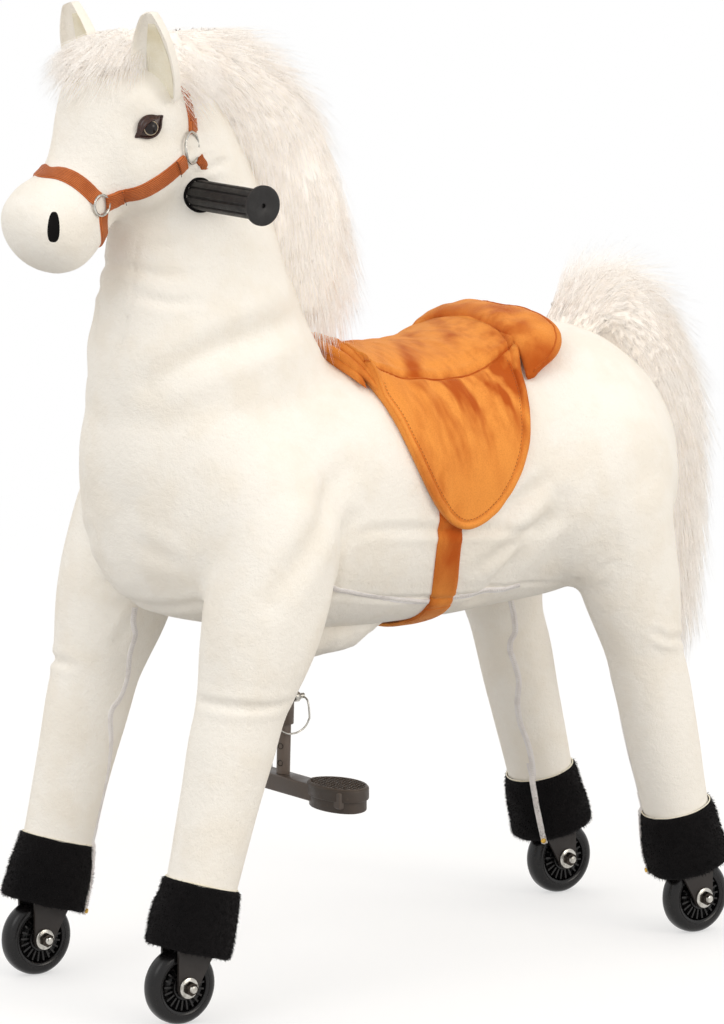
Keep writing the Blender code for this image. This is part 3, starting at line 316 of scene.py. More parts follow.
def basisAlong(direction, hint):
    along = Vector(direction).normalized()
    first = (Vector(hint) - along * along.dot(Vector(hint))).normalized()
    return first, along.cross(first), along


def spokesOf(first, second, count):
    turns = [fullTurn * j / count for j in range(count)]
    return [first * math.cos(t) + second * math.sin(t) for t in turns]


def turned(name, profile, centre, direction, finish, count=48, sharp=50, ring=False):
    # An outline of (place along the direction, radius) spun round it; a ring closes on itself
    first, second, along = basisAlong(direction, zAxis)
    spokes = spokesOf(first, second, count)
    points = []
    for place, radius in profile:
        points += [Vector(centre) + along * place + spoke * radius for spoke in spokes]
    rows = len(profile)
    faces = gridFaces(rows, count, True, True) if ring else cappedFaces(rows, count)
    return meshOf(name, points, faces, finish, sharp=sharp)


def smoothPath(points, count):
    # A Catmull-Rom curve through the points, at even spacing
    knots = np.array([tuple(p) for p in points], float)
    padded = np.vstack([2 * knots[0] - knots[1], knots, 2 * knots[-1] - knots[-2]])
    fine = []
    for i in range(len(knots) - 1):
        a, b, c, d = padded[i : i + 4]
        for s in np.linspace(0, 1, 24, endpoint=False):
            value = 2 * b + (c - a) * s + (2 * a - 5 * b + 4 * c - d) * s**2
            fine.append((value + (3 * b - a - 3 * c + d) * s**3) / 2)
    fine = np.array(fine + [knots[-1]])
    length = np.concatenate([[0], np.cumsum(np.linalg.norm(np.diff(fine, axis=0), axis=1))])
    at = np.linspace(0, length[-1], count)
    return np.stack([np.interp(at, length, fine[:, k]) for k in range(3)], axis=1)


def tube(name, path, radii, finish, count=12, closed=False, hint=None):
    points = [Vector(p) for p in path]
    total = len(points)
    side = Vector(hint) if hint is not None else None
    verts, uvs, run = [], [], 0.0
    for i, point in enumerate(points):
        ahead = points[(i + 1) % total if closed else min(i + 1, total - 1)]
        ahead = (ahead - points[i - 1 if closed else max(i - 1, 0)]).normalized()
        if side is None:
            side = ahead.orthogonal()
        side = (side - ahead * side.dot(ahead)).normalized()
        if i:
            run += (point - points[i - 1]).length
        radius = radii[i] if hasattr(radii, "__len__") else radii
        verts += [point + spoke * radius for spoke in spokesOf(side, ahead.cross(side), count)]
        uvs += [(radius * fullTurn * j / count, run) for j in range(count)]
    faces = gridFaces(total, count, True, True) if closed else cappedFaces(total, count)
    return meshOf(name, verts, faces, finish, uvs)


# Materials, each from what the real one is

def speckle(tree, place, size, detail, roughness, stretch=None):
    # Noise whose grains are about this many metres across
    if stretch:
        place = addNode(tree, "ShaderNodeMapping", {"Vector": place, "Scale": stretch})
    settings = {"Vector": place, "Scale": 1 / size, "Detail": detail, "Roughness": roughness}
    return addNode(tree, "ShaderNodeTexNoise", settings, "Fac")


def between(tree, value, low, high, first, second):
    # Goes from one value to another as a noise goes from low to high
    settings = {0: value, 1: low, 2: high, 3: first, 4: second}
    return addNode(tree, "ShaderNodeMapRange", settings, interpolation_type="SMOOTHSTEP")


def pattern(tree, place, what, *values):
    # A noise of this size, ribs across X or Y this far apart, worn edges or a point attribute
    if what == "edge":
        return addNode(tree, "ShaderNodeNewGeometry", out="Pointiness")
    if what in ("X", "Y"):
        uv = addNode(tree, "ShaderNodeUVMap", uv_map="UVMap")
        ribs = {"Vector": uv, "Scale": 0.314 / values[0]}
        return addNode(tree, "ShaderNodeTexWave", ribs, "Fac", bands_direction=what)
    if isinstance(what, str):
        return addNode(tree, "ShaderNodeAttribute", out="Fac", attribute_name=what)
    return what(tree, place) if callable(what) else speckle(tree, place, what, *values)


def makeMaterial(name, roughness, specular, grains, colours, bumps, **more):
    # Colours: the first, then each laid over it as (grain, low, high, share at each, colour).
    # Bumps go from coarse to fine, as (grain, depth in metres).
    finish = bpy.data.materials.new(name)
    finish.use_nodes = True
    tree = finish.node_tree
    inputs = tree.nodes["Principled BSDF"].inputs
    inputs["Roughness"].default_value = roughness
    inputs["Specular IOR Level"].default_value = specular
    for label, value in more.get("values", {}).items():
        inputs[label].default_value = value
    place = addNode(tree, "ShaderNodeTexCoord", out="Object")
    made = {key: pattern(tree, place, *what) for key, what in grains.items()}
    colour = srgb(colours[0])
    for grain, *span, over in colours[1:]:
        share = between(tree, made[grain], *span) if span else made[grain]
        mix = {0: share, 6: colour, 7: srgb(over)}
        colour = addNode(tree, "ShaderNodeMix", mix, 2, data_type="RGBA")
    tree.links.new(colour, inputs["Base Color"])
    if "uneven" in more:
        grain, *span = more["uneven"]
        tree.links.new(between(tree, made[grain], *span), inputs["Roughness"])
    if "sheen" in more:
        for label, value in zip(("Weight", "Tint", "Roughness"), more["sheen"]):
            value = srgb(value) if label == "Tint" else value
            inputs["Sheen " + label].default_value = value
    bump = None
    for grain, depth in bumps:
        settings = {"Height": made[grain], "Distance": depth, "Strength": 1.0}
        if bump:
            settings["Normal"] = bump
        bump = addNode(tree, "ShaderNodeBump", settings)
    tree.links.new(bump, inputs["Normal"])
    return finish


def makePlush(name, lit, shaded, pile, depth, halo, weight):
    # Knitted plush with a 2 to 3 mm polyester pile: matt, with a soft halo and faint patches;
    # its shaded colour is painted shade, in the patches and between the pile's tips
    grains = {"patch": (0.055, 3, 0.55), "tips": (pile, 4, 0.75), "tufts": (pile * 3.5, 3, 0.6)}
    colours = [lit, ("patch", 0.40, 0.66, 0, 1, shaded), ("tips", 0.30, 0.55, 0.45, 0, shaded)]
    bumps = [("patch", depth * 1.6), ("tufts", depth), ("tips", depth * 0.6)]
    return makeMaterial(name, 0.92, 0.18, grains, colours, bumps, sheen=(weight, halo, 0.45))


def paintedNapShade(tree, place):
    # Painted shade where the nap is turned: loose strokes of it, and those that the point attribute
    # places
    strokes = speckle(tree, place, 0.034, 3, 0.6, (1.0, 1.0, 0.38))
    dark = between(tree, strokes, 0.40, 0.68, 0, 0.55)
    where = between(tree, speckle(tree, place, 0.085, 2, 0.5), 0.40, 0.62, 0.10, 1)
    loose = figure(tree, "MULTIPLY", dark, where)
    return figure(tree, "ADD", loose, pattern(tree, place, "brushed"), use_clamp=True)


def makeFur(name, root, tip, streak, sheenWeight, glow):
    # Long acrylic faux fur: roots and the gaps between hairs in painted shade, paler tips, locks of
    # unlike tint, and a painted glow that stands for the light deep pile passes from hair to hair
    grains = {"along": ("along",), "locks": (0.016, 3, 0.6), "hairs": (0.0022, 2, 0.6)}
    colours = [
        root, ("along", 0.0, 0.65, 0, 1, tip), ("locks", 0.42, 0.68, 0, 0.75, streak),
        ("hairs", 0.35, 0.60, 0.35, 0, root),
    ]
    # Painted glow: the fur itself gives off a little light
    values = {"Emission Color": srgb("#FFF8F1"), "Emission Strength": glow}
    bumps = [("locks", 0.002), ("hairs", 0.0005)]
    soft = (sheenWeight, tip, 0.5)
    return makeMaterial(name, 0.75, 0.25, grains, colours, bumps, values=values, sheen=soft)


def makeRubber(name, lit, worn, roughness, grain, depth, specular=0.4):
    # Moulded rubber or plastic: a fine even grain, and dust and scuffs on what stands proud
    grains = {"grain": (grain, 3, 0.6), "scuffs": (0.012, 5, 0.72), "edge": ("edge",)}
    colours = [lit, ("scuffs", 0.55, 0.75, 0, 0.5, worn), ("edge", 0.50, 0.58, 0, 0.8, worn)]
    uneven = ("scuffs", 0.35, 0.70, roughness * 0.85, min(1, roughness * 1.25))
    bumps = [("grain", depth)]
    return makeMaterial(name, roughness, specular, grains, colours, bumps, uneven=uneven)


def makeMetal(name, lit, dull, roughness, drawn=1.0):
    # Zinc-plated or bare steel: bright, with fine drawn lines and faint clouding
    grains = {"cloud": (0.006, 4, 0.6), "lines": (0.0010, 2, 0.5, (drawn, 1.0, 1.0))}
    colours = [lit, ("cloud", 0.40, 0.70, 0, 1, dull)]
    more = {"uneven": ("cloud", 0.30, 0.70, roughness * 0.7, roughness * 1.4)}
    more["values"] = {"Metallic": 1.0}
    return makeMaterial(name, roughness, 0.5, grains, colours, [("lines", 0.00008)], **more)


def makeGloss(name, centre, edge, coat):
    # Polished acrylic with its colour under a clear coat
    values = {"Coat Weight": coat, "Coat Roughness": 0.08}
    colours = [centre, ("fleck", 0.35, 0.65, 0, 1, edge)]
    grains = {"fleck": (0.0015, 3, 0.6)}
    return makeMaterial(name, 0.22, 0.35, grains, colours, [("fleck", 0.00003)], values=values)


# Each plush: its lit colour, then its colour in painted shade
plushWhite = makePlush("shortPilePlushWhite", "#FAF6EE", "#F6F0E5", 0.0019, 0.0011, "#FFF9F0", 0.25)
earLining = makePlush("shavedPlushCream", "#F4EFDF", "#E6DCC0", 0.0014, 0.0007, "#FFF6DC", 0.15)
plushBlack = makePlush("longPilePlushBlack", "#0D0B0C", "#050405", 0.0022, 0.0016, "#4A4444", 0.25)
felt = makePlush("feltBlack", "#100D0E", "#060505", 0.0010, 0.0005, "#3A3535", 0.15)
# Brushed polyester velvet: the nap lies both ways, in light and dark strokes with a warm sheen;
# the dark strokes and the gaps in the fine nap are painted shade
velvet = makeMaterial(
    "brushedVelvetOrange", 0.82, 0.22,
    {
        "strokes": (0.034, 3, 0.6, (1.0, 1.0, 0.38)), "nap": (0.0016, 4, 0.75),
        "turned": (paintedNapShade,),
    },
    ["#F09A44", ("turned", "#B9540F"), ("nap", 0.32, 0.60, 0.22, 0, "#A84E12")],
    [("strokes", 0.0009), ("nap", 0.0005)], sheen=(0.6, "#FFC083", 0.35),
)
# Woven nylon strap with ribs along it, 1.7 mm apart, and picks across every 1.2 mm;
# the grooves between the ribs and the gaps in its fuzz are darkened with painted shade
webbing = makeMaterial(
    "ribbedNylonWebbing", 0.55, 0.35,
    {
        "ribs": ("X", 0.0017), "picks": ("Y", 0.0012), "fuzz": (0.0012, 3, 0.7),
        "worn": (0.020, 2, 0.5),
    },
    [
        "#DE7C3E", ("worn", 0.35, 0.65, 0, 1, "#C9682B"), ("ribs", 0.05, 0.45, 0.75, 0, "#7F3511"),
        ("fuzz", 0.35, 0.60, 0.3, 0, "#9A4518"),
    ],
    [("ribs", 0.0006), ("picks", 0.00022), ("fuzz", 0.00015)], sheen=(0.2, "#FFB07A", 0.5),
)
# The white fur's last value is the strength of its painted glow
furWhite = makeFur("fauxFurWhite", "#F6F0E9", "#FFFDFA", "#F6EEE6", 0.5, 0.165)
furBlack = makeFur("plushFuzzBlack", "#050405", "#171314", "#0C0A0B", 0.15, 0.0)
# Black powder coat on steel: a fine orange-peel skin, rubbed brown at its edges
powderCoat = makeMaterial(
    "blackPowderCoat", 0.42, 0.5,
    {"peel": (0.0016, 2, 0.5), "cloud": (0.018, 4, 0.65), "edge": ("edge",)},
    ["#2E2622", ("cloud", 0.4, 0.7, 0, 1, "#3A302A"), ("edge", 0.51, 0.60, 0, 0.7, "#6B5D52")],
    [("peel", 0.00012)], uneven=("cloud", 0.3, 0.7, 0.34, 0.52),
)
zinc = makeMetal("zincPlatedSteel", "#C9C6BF", "#9D9A93", 0.26)
springSteel = makeMetal("oiledSpringSteel", "#6F6F71", "#4E4E50", 0.35, 0.2)
brass = makeMetal("brassStop", "#D9B25A", "#A88233", 0.3)
darkSteel = makeMetal("blackenedSteel", "#4A433D", "#2C2724", 0.38)
# Birch plywood: long pale grain with darker rays
plywood = makeMaterial(
    "birchPlywood", 0.6, 0.3,
    {"grain": (0.004, 5, 0.6, (1.0, 0.08, 1.0)), "rays": (0.0012, 3, 0.6, (1.0, 0.15, 1.0))},
    ["#D9B98A", ("grain", 0.35, 0.65, 0, 1, "#B98E5A"), ("rays", 0.35, 0.55, 0.4, 0, "#9C7343")],
    [("grain", 0.0003)],
)
gripRubber = makeRubber("ribbedGripRubber", "#0E0C0C", "#262322", 0.55, 0.0011, 0.00008)
pedalPlastic = makeRubber("mouldedNylonBrown", "#302823", "#55493F", 0.5, 0.0012, 0.00006)
forkPlastic = makeRubber("glassFilledNylon", "#14110F", "#2C2623", 0.48, 0.0010, 0.00005)
urethane = makeRubber("castUrethaneBlack", "#090809", "#1C1A1A", 0.24, 0.0016, 0.00003, 0.35)
# Woven polyester tape in off-white, its picks 0.9 mm apart; painted shade darkens the grooves
# between the picks
zipTape = makeMaterial(
    "zipTapePolyester", 0.7, 0.25, {"picks": ("Y", 0.0009), "worn": (0.010, 3, 0.6)},
    ["#F6F3F2", ("worn", 0.4, 0.7, 0, 1, "#E9E4E2"), ("picks", 0.1, 0.5, 0.3, 0, "#DCD5D3")],
    [("picks", 0.0001)],
)
zipTooth = makeRubber("acetalZipTeeth", "#F7F5F4", "#DEDAD7", 0.4, 0.0010, 0.00003)
eyeDark = makeGloss("acrylicEyeDark", "#0C0503", "#1A0D08", 0.0)
eyeRing = makeGloss("acrylicEyeRing", "#C9B9A0", "#8D7A62", 0.2)
eyeLid = makeGloss("mouldedEyelidBrown", "#44291F", "#2A1712", 0.15)
thread = makeRubber("sewingThreadTan", "#A4551E", "#8A4212", 0.6, 0.0010, 0.0001)
print("materials made")


# Geometry Nodes tools

def nodeTool(name, **sizes):
    tree = bpy.data.node_groups.new(name, "GeometryNodeTree")
    for way in ("INPUT", "OUTPUT"):
        tree.interface.new_socket("Geometry", in_out=way, socket_type="NodeSocketGeometry")
    for label, value in sizes.items():
        made = tree.interface.new_socket(label, in_out="INPUT", socket_type="NodeSocketFloat")
        made.default_value = value
    return tree, addNode(tree, "NodeGroupInput").node.outputs, addNode(tree, "NodeGroupOutput")


def runTool(name, source, tree, **values):
    # The tool's result on a mesh, as a plain mesh of its own
    modifier = source.modifiers.new(tree.name, "NODES")
    modifier.node_group = tree
    for item in tree.interface.items_tree:
        if item.in_out == "INPUT" and item.name in values:
            modifier[item.identifier] = float(values[item.name])
    mesh = evaluated(source)
    source.modifiers.remove(modifier)
    return linked(name, mesh)


def attribute(obj, name, kind, values):
    layer = obj.data.attributes.new(name, kind, "POINT")
    label = "vector" if kind == "FLOAT_VECTOR" else "value"
    layer.data.foreach_set(label, np.array(values, float).ravel())


def named(tree, name, kind):
    return addNode(tree, "GeometryNodeInputNamedAttribute", {"Name": name}, data_type=kind)


def facingNode(tree, vector, axis, **more):
    inputs = {"Vector": vector, **more.pop("inputs", {})}
    return addNode(tree, "FunctionNodeAlignRotationToVector", inputs, axis=axis, **more)


def standUnits(tree, spots, unit, rotation, scale):
    piece = addNode(tree, "GeometryNodeObjectInfo", {"Object": unit}, "Geometry")
    inputs = {"Points": spots, "Instance": piece, "Rotation": rotation, "Scale": scale}
    units = addNode(tree, "GeometryNodeInstanceOnPoints", inputs)
    return addNode(tree, "GeometryNodeRealizeInstances", {0: units})


def endTool(tree, end, shape, finish):
    painted = addNode(tree, "GeometryNodeSetMaterial", {0: shape, "Material": finish})
    tree.links.new(painted, end.inputs[0])
    return tree


def rowTool(name, unit, finish, spacing):
    # Sets a small unit at even steps along a path, its X along the path and its Z up
    tree, size, end = nodeTool(name, Spacing=spacing, Size=1.0)
    line = addNode(tree, "GeometryNodeMeshToCurve", {"Mesh": size["Geometry"]})
    inputs = {"Curve": line, "Length": size["Spacing"]}
    steps = addNode(tree, "GeometryNodeResampleCurve", inputs, mode="LENGTH")
    along = facingNode(tree, addNode(tree, "GeometryNodeInputTangent"), "X")
    up = named(tree, "up", "FLOAT_VECTOR")
    upright = facingNode(tree, up, "Z", inputs={"Rotation": along}, pivot_axis="X")
    return endTool(tree, end, standUnits(tree, steps, unit, upright, size["Size"]), finish)


def unitRow(name, points, ups, unit, finish, spacing):
    # Small units in a row along a line of points, each with the way up from the surface there
    mesh = bpy.data.meshes.new(name + "Line")
    edges = [(i, i + 1) for i in range(len(points) - 1)]
    mesh.from_pydata([tuple(p) for p in points], edges, [])
    line = linked(name + "Line", mesh)
    attribute(line, "up", "FLOAT_VECTOR", ups)
    made = runTool(name, line, rowTool(name + "Tool", unit, finish, spacing), Spacing=spacing)
    discard(line)
    return made


def unitOf(name, size, shape="sphere", u=6, v=5, smooth=True):
    bm = bmesh.new()
    matrix = Matrix.Diagonal((*size, 1))
    if shape == "box":
        bmesh.ops.create_cube(bm, size=1.0, matrix=matrix)
    else:
        bmesh.ops.create_uvsphere(bm, u_segments=u, v_segments=v, radius=1.0, matrix=matrix)
    return meshFrom(name, bm, smooth=smooth)


def hairUnit(name, bend, segments):
    # One hair along Z, a metre long before it is scaled, with three sides and a point
    points = []
    for i in range(segments):
        share = i / segments
        width = (1 - share**1.5) * 0.5
        for spoke in spokesOf(xAxis, yAxis, 3):
            points.append(spoke * width + Vector((bend * share * share, 0, share)))
    points.append((bend, 0, 1))
    base = (segments - 1) * 3
    faces = gridFaces(segments, 3, closedColumns=True)
    faces += [(base + j, base + (j + 1) % 3, base + 3) for j in range(3)] + [(2, 1, 0)]
    hair = meshOf(name, points, faces)
    attribute(hair, "along", "FLOAT", [v.co.z for v in hair.data.vertices])
    return hair


def furTool(name, unit, finish, seed, **sizes):
    # Scatters hairs over a mesh, each along the mesh's own "flow"
    tree, size, end = nodeTool(name, **sizes)
    field = "FLOAT_VECTOR"
    here = addNode(tree, "GeometryNodeInputPosition")

    def drift(scale):
        waves = addNode(tree, "ShaderNodeTexNoise", {"Vector": here, "Scale": size[scale]}, "Color")
        return vectors(tree, "ADD", waves, (-0.5,) * 3)

    inputs = {"Mesh": size["Geometry"], "Density": size["Density"], "Seed": seed}
    spots = addNode(tree, "GeometryNodeDistributePointsOnFaces", inputs)
    random = "FunctionNodeRandomValue"
    inputs = {0: (-1, -1, -1), 1: (1, 1, 1), "Seed": seed + 1}
    stray = addNode(tree, random, inputs, data_type=field)
    spread = vectors(tree, "SCALE", stray, size["Spread"])
    # Hairs near each other lean together, so that they gather in locks
    lean = vectors(tree, "SCALE", drift("Locks"), size["Gather"])
    way = vectors(tree, "ADD", named(tree, "flow", field), vectors(tree, "ADD", spread, lean))
    inputs = {2: size["Shortest"], 3: size["Longest"], "Seed": seed + 2}
    longest = addNode(tree, random, inputs, 1, data_type="FLOAT")
    thick = size["Thickness"]
    scale = addNode(tree, "ShaderNodeCombineXYZ", {0: thick, 1: thick, 2: longest})
    hairs = standUnits(tree, spots, unit, facingNode(tree, way, "Z"), scale)
    squared = figure(tree, "POWER", named(tree, "along", "FLOAT"), 2.0)
    sway = figure(tree, "MULTIPLY", squared, size["Sway"])
    droop = figure(tree, "MULTIPLY", squared, size["Droop"])
    moved = vectors(tree, "SCALE", drift("Waves"), sway)
    down = vectors(tree, "SCALE", (0.0, 0.0, -1.0), droop)
    inputs = {0: hairs, "Offset": vectors(tree, "ADD", moved, down)}
    return endTool(tree, end, addNode(tree, "GeometryNodeSetPosition", inputs), finish)


def addHair(base, flows, unit, finish, seed, sizes):
    # A hairy piece: its base with the hairs that stand on it
    attribute(base, "flow", "FLOAT_VECTOR", flows)
    tool = furTool(base.name + "Fur", unit, finish, seed, **sizes)
    hairs = runTool(base.name + "Hairs", base, tool)
    base.data.attributes.new("along", "FLOAT", "POINT")
    bm = bmesh.new()
    for part in (base, hairs):
        bm.from_mesh(part.data)
    bm.to_mesh(base.data)
    bm.free()
    base.data.shade_smooth()
    discard(hairs)
    bpy.data.node_groups.remove(tool)


def paintNapShade(obj, values):
    # How far the velvet's nap lies against the light, point by point: painted shade in its colour
    attribute(obj, "brushed", "FLOAT", values)


def paintNapShadeEvenly(obj, level, spread):
    # An even level of painted nap shade over a piece, with a little noise
    nap = [noise.noise(Vector((x * 40, y * 40, z * 22))) for x, y, z in pointsOf(obj)]
    paintNapShade(obj, [level + spread * value for value in nap])


def pointsOf(obj, normals=False):
    found = np.zeros(len(obj.data.vertices) * 3)
    if normals:
        obj.data.vertex_normals.foreach_get("vector", found)
    else:
        obj.data.vertices.foreach_get("co", found)
    return found.reshape(-1, 3)


def treeOf(mesh):
    faces = [tuple(p.vertices) for p in mesh.polygons]
    return BVHTree.FromPolygons([v.co for v in mesh.vertices], faces)


def nearest(points):
    tree = KDTree(len(points))
    for k, spot in enumerate(points):
        tree.insert(spot, k)
    tree.balance()
    return tree


# Stuffed body: one plush skin over the neck, head, barrel and legs

def metres(rows):
    return [tuple(value / 1000 for value in values) for values in rows]


def formOf(axis, up, rows, origin=(0, 0, 0)):
    # Rings along an axis. Each row holds a ring's place, its shift towards "up", its radii towards
    # up, down and the side, all in millimetres, and how square it is.
    stations = [(*(v / 1000 for v in values[:5]), values[5]) for values in rows]
    return {"origin": origin, "axis": axis, "up": up, "stations": stations}


headSlope = math.radians(48.7)
headAhead = (0, -math.cos(headSlope), -math.sin(headSlope))
headUp = (0, -math.sin(headSlope), math.cos(headSlope))
torsoForm = formOf((0, 1, 0), (0, 0, 1), [
    (-330, 550, 35, 40, 28, 2), (-321, 548, 80, 88, 58, 2), (-304, 542, 112, 120, 86, 2.1),
    (-265, 532, 135, 134, 124, 2.2), (-200, 520, 140, 138, 146, 2.3),
    (-120, 510, 145, 142, 150, 2.3), (-40, 505, 142, 142, 148, 2.3),
    (50, 505, 138, 142, 148, 2.3), (130, 508, 146, 141, 150, 2.3), (200, 512, 152, 140, 153, 2.3),
    (260, 520, 138, 132, 148, 2.2), (310, 522, 108, 116, 128, 2.1), (342, 520, 74, 88, 95, 2),
    (357, 518, 35, 40, 45, 2),
])
neckForm = formOf((0, 0, 1), (0, -1, 0), [
    (560, 205, 122, 130, 112, 2.1), (620, 208, 121, 138, 112, 2.1),
    (660, 212, 118, 134, 106, 2.1), (685, 215, 113, 122, 98, 2.1), (720, 215, 108, 108, 89, 2.1),
    (760, 215, 101, 95, 79, 2), (800, 218, 94, 86, 72, 2), (850, 228, 84, 78, 60, 2),
    (900, 245, 73, 70, 50, 2), (940, 258, 54, 55, 40, 2), (962, 262, 22, 22, 20, 2),
])
headForm = formOf(headAhead, headUp, [
    (-73, 0, 18, 18, 18, 2), (-62, 0, 44, 42, 38, 2), (-36, 0, 66, 66, 57, 2),
    (0, 0, 74, 76, 67, 2), (35, 0, 63, 74, 62, 2), (65, 0, 47, 65, 52, 2),
    (92, 0, 38.5, 54, 45.5, 2), (108, 0, 41.5, 52, 47, 2), (130, 0, 50, 54, 53, 2),
    (150, 0, 51, 52, 52, 2), (168, 0, 42, 43, 43, 2), (180, 0, 27, 28, 28, 2),
    (186, 0, 12, 12, 12, 2),
], (0, -0.300, 0.915))
# A leg's rows hold a ring's place up the leg and its radii to the front, the back and the side
legs = {
    "front": {"axle": (-0.331, 0.040), "pivot": (-0.204, 0.500), "half": 0.1333, "rows": [
        (60, 34.5, 34.5, 34.5), (105, 37, 37, 36.5), (190, 41.5, 41.5, 40.5), (252, 45, 45.5, 44),
        (282, 44.5, 47, 45), (306, 47.5, 52, 49), (340, 54, 62, 53.5), (372, 59, 69, 56),
        (410, 61, 71.5, 57), (455, 60, 70, 54.5), (500, 52, 60, 45), (530, 25, 30, 22),
    ]},
    "rear": {"axle": (0.351, 0.040), "pivot": (0.230, 0.500), "half": 0.1203, "rows": [
        (60, 33.5, 33.5, 34), (105, 35.5, 36, 36), (190, 38, 40, 39), (250, 40, 43, 40.5),
        (288, 41.5, 41, 41), (312, 45, 47, 45), (360, 54, 56, 50), (410, 59, 61, 54),
        (455, 70, 68, 56), (500, 60, 58, 48), (530, 28, 28, 24),
    ]},
}
body = {
    "voxel": 0.0045,
    "legCut": 0.354,
    "creaseSoftening": 26,
    "foldStrength": 1.45,
    # centre, radii, turn about X in degrees: what swells out of the plain forms, on both sides
    "lumps": [
        ((0.098, -0.203, 0.496), (0.078, 0.074, 0.108), -6),
        ((0.094, 0.218, 0.505), (0.078, 0.112, 0.112), 8),
        ((0.034, -0.300, 0.872), (0.036, 0.048, 0.050), -35),
        ((0.016, -0.258, 0.560), (0.080, 0.076, 0.110), 0),
    ],
    # centre, radius, depth in millimetres: soft hollows (below 0) and swellings in the skin
    "dents": [
        (64, -330, 914, 20, -4), (52, -335, 940, 22, 3), (70, -250, 838, 21, -7.5),
        (46, -300, 845, 30, 3), (150, -10, 430, 60, -4), (128, -170, 600, 55, -5),
        (120, 120, 430, 50, -4),
    ],
    # width, depth and the ridge beside it, then places in millimetres: folds, seams and wrinkles
    "folds": [
        (4, -3, 0.4, (124, -129, 423), (113, -38, 404), (108, 57, 396), (109, 121, 399),
         (100, 184, 394)),
        (5, -2.2, 0.8, (145, -140, 474), (147, -108, 487), (147, -63, 485), (145, -11, 479),
         (145, 42, 474), (145, 120, 464)),
        (6, -4, 0.6, (145, -140, 474), (135, -143, 444), (116, -140, 415)),
        (4.2, -3, 0.7, (100, -300, 327), (119, -297, 329), (154, -294, 329), (176, -272, 327),
         (179, -244, 326), (168, -217, 328)),
        (13, -6, 0.6, (58, -312, 647), (85, -281, 671), (97, -240, 686), (94, -188, 697),
         (65, -131, 704)),
        (4.5, -1.6, 0.8, (0, -312, 764), (29, -310, 761), (54, -291, 757), (70, -264, 757)),
        (4.8, -1.8, 0.9, (34, -313, 736), (63, -290, 729), (77, -263, 732)),
        (4.2, -1.5, 0.7, (20, -318, 790), (44, -300, 786), (60, -274, 787)),
        (2.2, -2, 0.3, (29, -303, 806), (26, -311, 761), (29, -316, 731), (24, -325, 685),
         (6, -329, 642)),
        (4, -3, 0.9, (42, -262, 850), (60, -246, 862), (55, -210, 868)),
        (3, -2.2, 0.9, (54, -272, 864), (58, -250, 871), (55, -229, 876)),
        (3, -1.8, 0.8, (56, -276, 876), (57, -250, 884), (52, -226, 890)),
        (8, -3.4, 0.9, (146, 67, 482), (148, 91, 501), (149, 123, 519)),
        (10, -5, 0.8, (98, 77, 389), (126, 94, 420), (141, 110, 450), (149, 143, 496)),
        (8, -3, 0.9, (132, 51, 429), (143, 95, 458), (148, 144, 480)),
        (2.4, -1.6, 0.3, (137, 221, 583), (160, 208, 520), (166, 206, 450), (155, 215, 404)),
        (4, -3.4, 0.9, (126, 201, 407), (141, 203, 414), (154, 208, 426)),
        (4, -3, 0.7, (110, 196, 398), (128, 186, 400), (140, 190, 404)),
        (4, -3.6, 0.9, (164, 293, 333), (168, 277, 335), (167, 257, 345)),
        (4, -2.6, 0.8, (120, 310, 330), (150, 305, 330), (160, 282, 338)),
        (12, -5, 0.5, (184, -249, 436), (184, -216, 475), (163, -163, 528), (145, -131, 553)),
        (8, -4.6, 0.7, (125, -142, 427), (145, -144, 472), (148, -127, 502)),
        (7, -3, 0.5, (0, -290, 412), (45, -276, 415), (94, -261, 420), (130, -276, 432)),
        (10, -3.4, 0.7, (40, -332, 480), (70, -318, 470), (100, -300, 455)),
        (6, -3, 0.8, (88, -258, 352), (90, -240, 385), (95, -226, 410)),
    ],
    "noise": [(7.0, 0.0030), (17.0, 0.0012)],
}


def atPlaces(stations, places):
    # The stations' values at each place, on a cubic that never overshoots
    table = np.array(stations, float)
    at, values = table[:, 0], table[:, 1:]
    steps = np.diff(at)[:, None]
    rises = np.diff(values, axis=0) / steps
    slopes = np.zeros_like(values)
    slopes[0], slopes[-1] = rises[0], rises[-1]
    before, after = rises[:-1], rises[1:]
    same = before * after > 0
    total = np.where(same, before + after, 1.0)
    slopes[1:-1] = np.where(same, 2 * before * after / total, 0.0)
    i = np.clip(np.searchsorted(at, places) - 1, 0, len(at) - 2)
    s = ((places - at[i]) / steps[i, 0])[:, None]
    first = (1 + 2 * s) * (1 - s) ** 2 * values[i] + s * (1 - s) ** 2 * steps[i] * slopes[i]
    last = s * s * (3 - 2 * s) * values[i + 1] + s * s * (s - 1) * steps[i] * slopes[i + 1]
    return first + last


def formPoints(form, places, angles, offset=0.0):
    # Points on a form's surface: one ring of them for each place
    places = np.asarray(places, float)
    rows = atPlaces(form["stations"], places)
    shift, up, down, side, square = [rows[:, k : k + 1] for k in range(5)]
    cos, sin = np.cos(angles)[None], np.sin(angles)[None]
    across = np.sign(cos) * np.abs(cos) ** (2 / square) * (side + offset)
    rise = np.sign(sin) * np.abs(sin) ** (2 / square) * (np.where(sin > 0, up, down) + offset)
    origin, axis, upward = (np.array(form[key], float) for key in ("origin", "axis", "up"))
    line = origin + axis * places[:, None]
    points = line[:, None] + upward * (shift + rise)[..., None]
    points[..., 0] += across
    return points


def legForm(pair, side):
    data = legs[pair]
    axle = Vector((side * data["half"], *data["axle"]))
    up = (Vector((side * data["half"], *data["pivot"])) - axle).normalized()
    rows = [(place, 0, *radii, 2.0) for place, *radii in data["rows"]]
    return formOf(up, (0, -up.z, up.y), rows, axle)


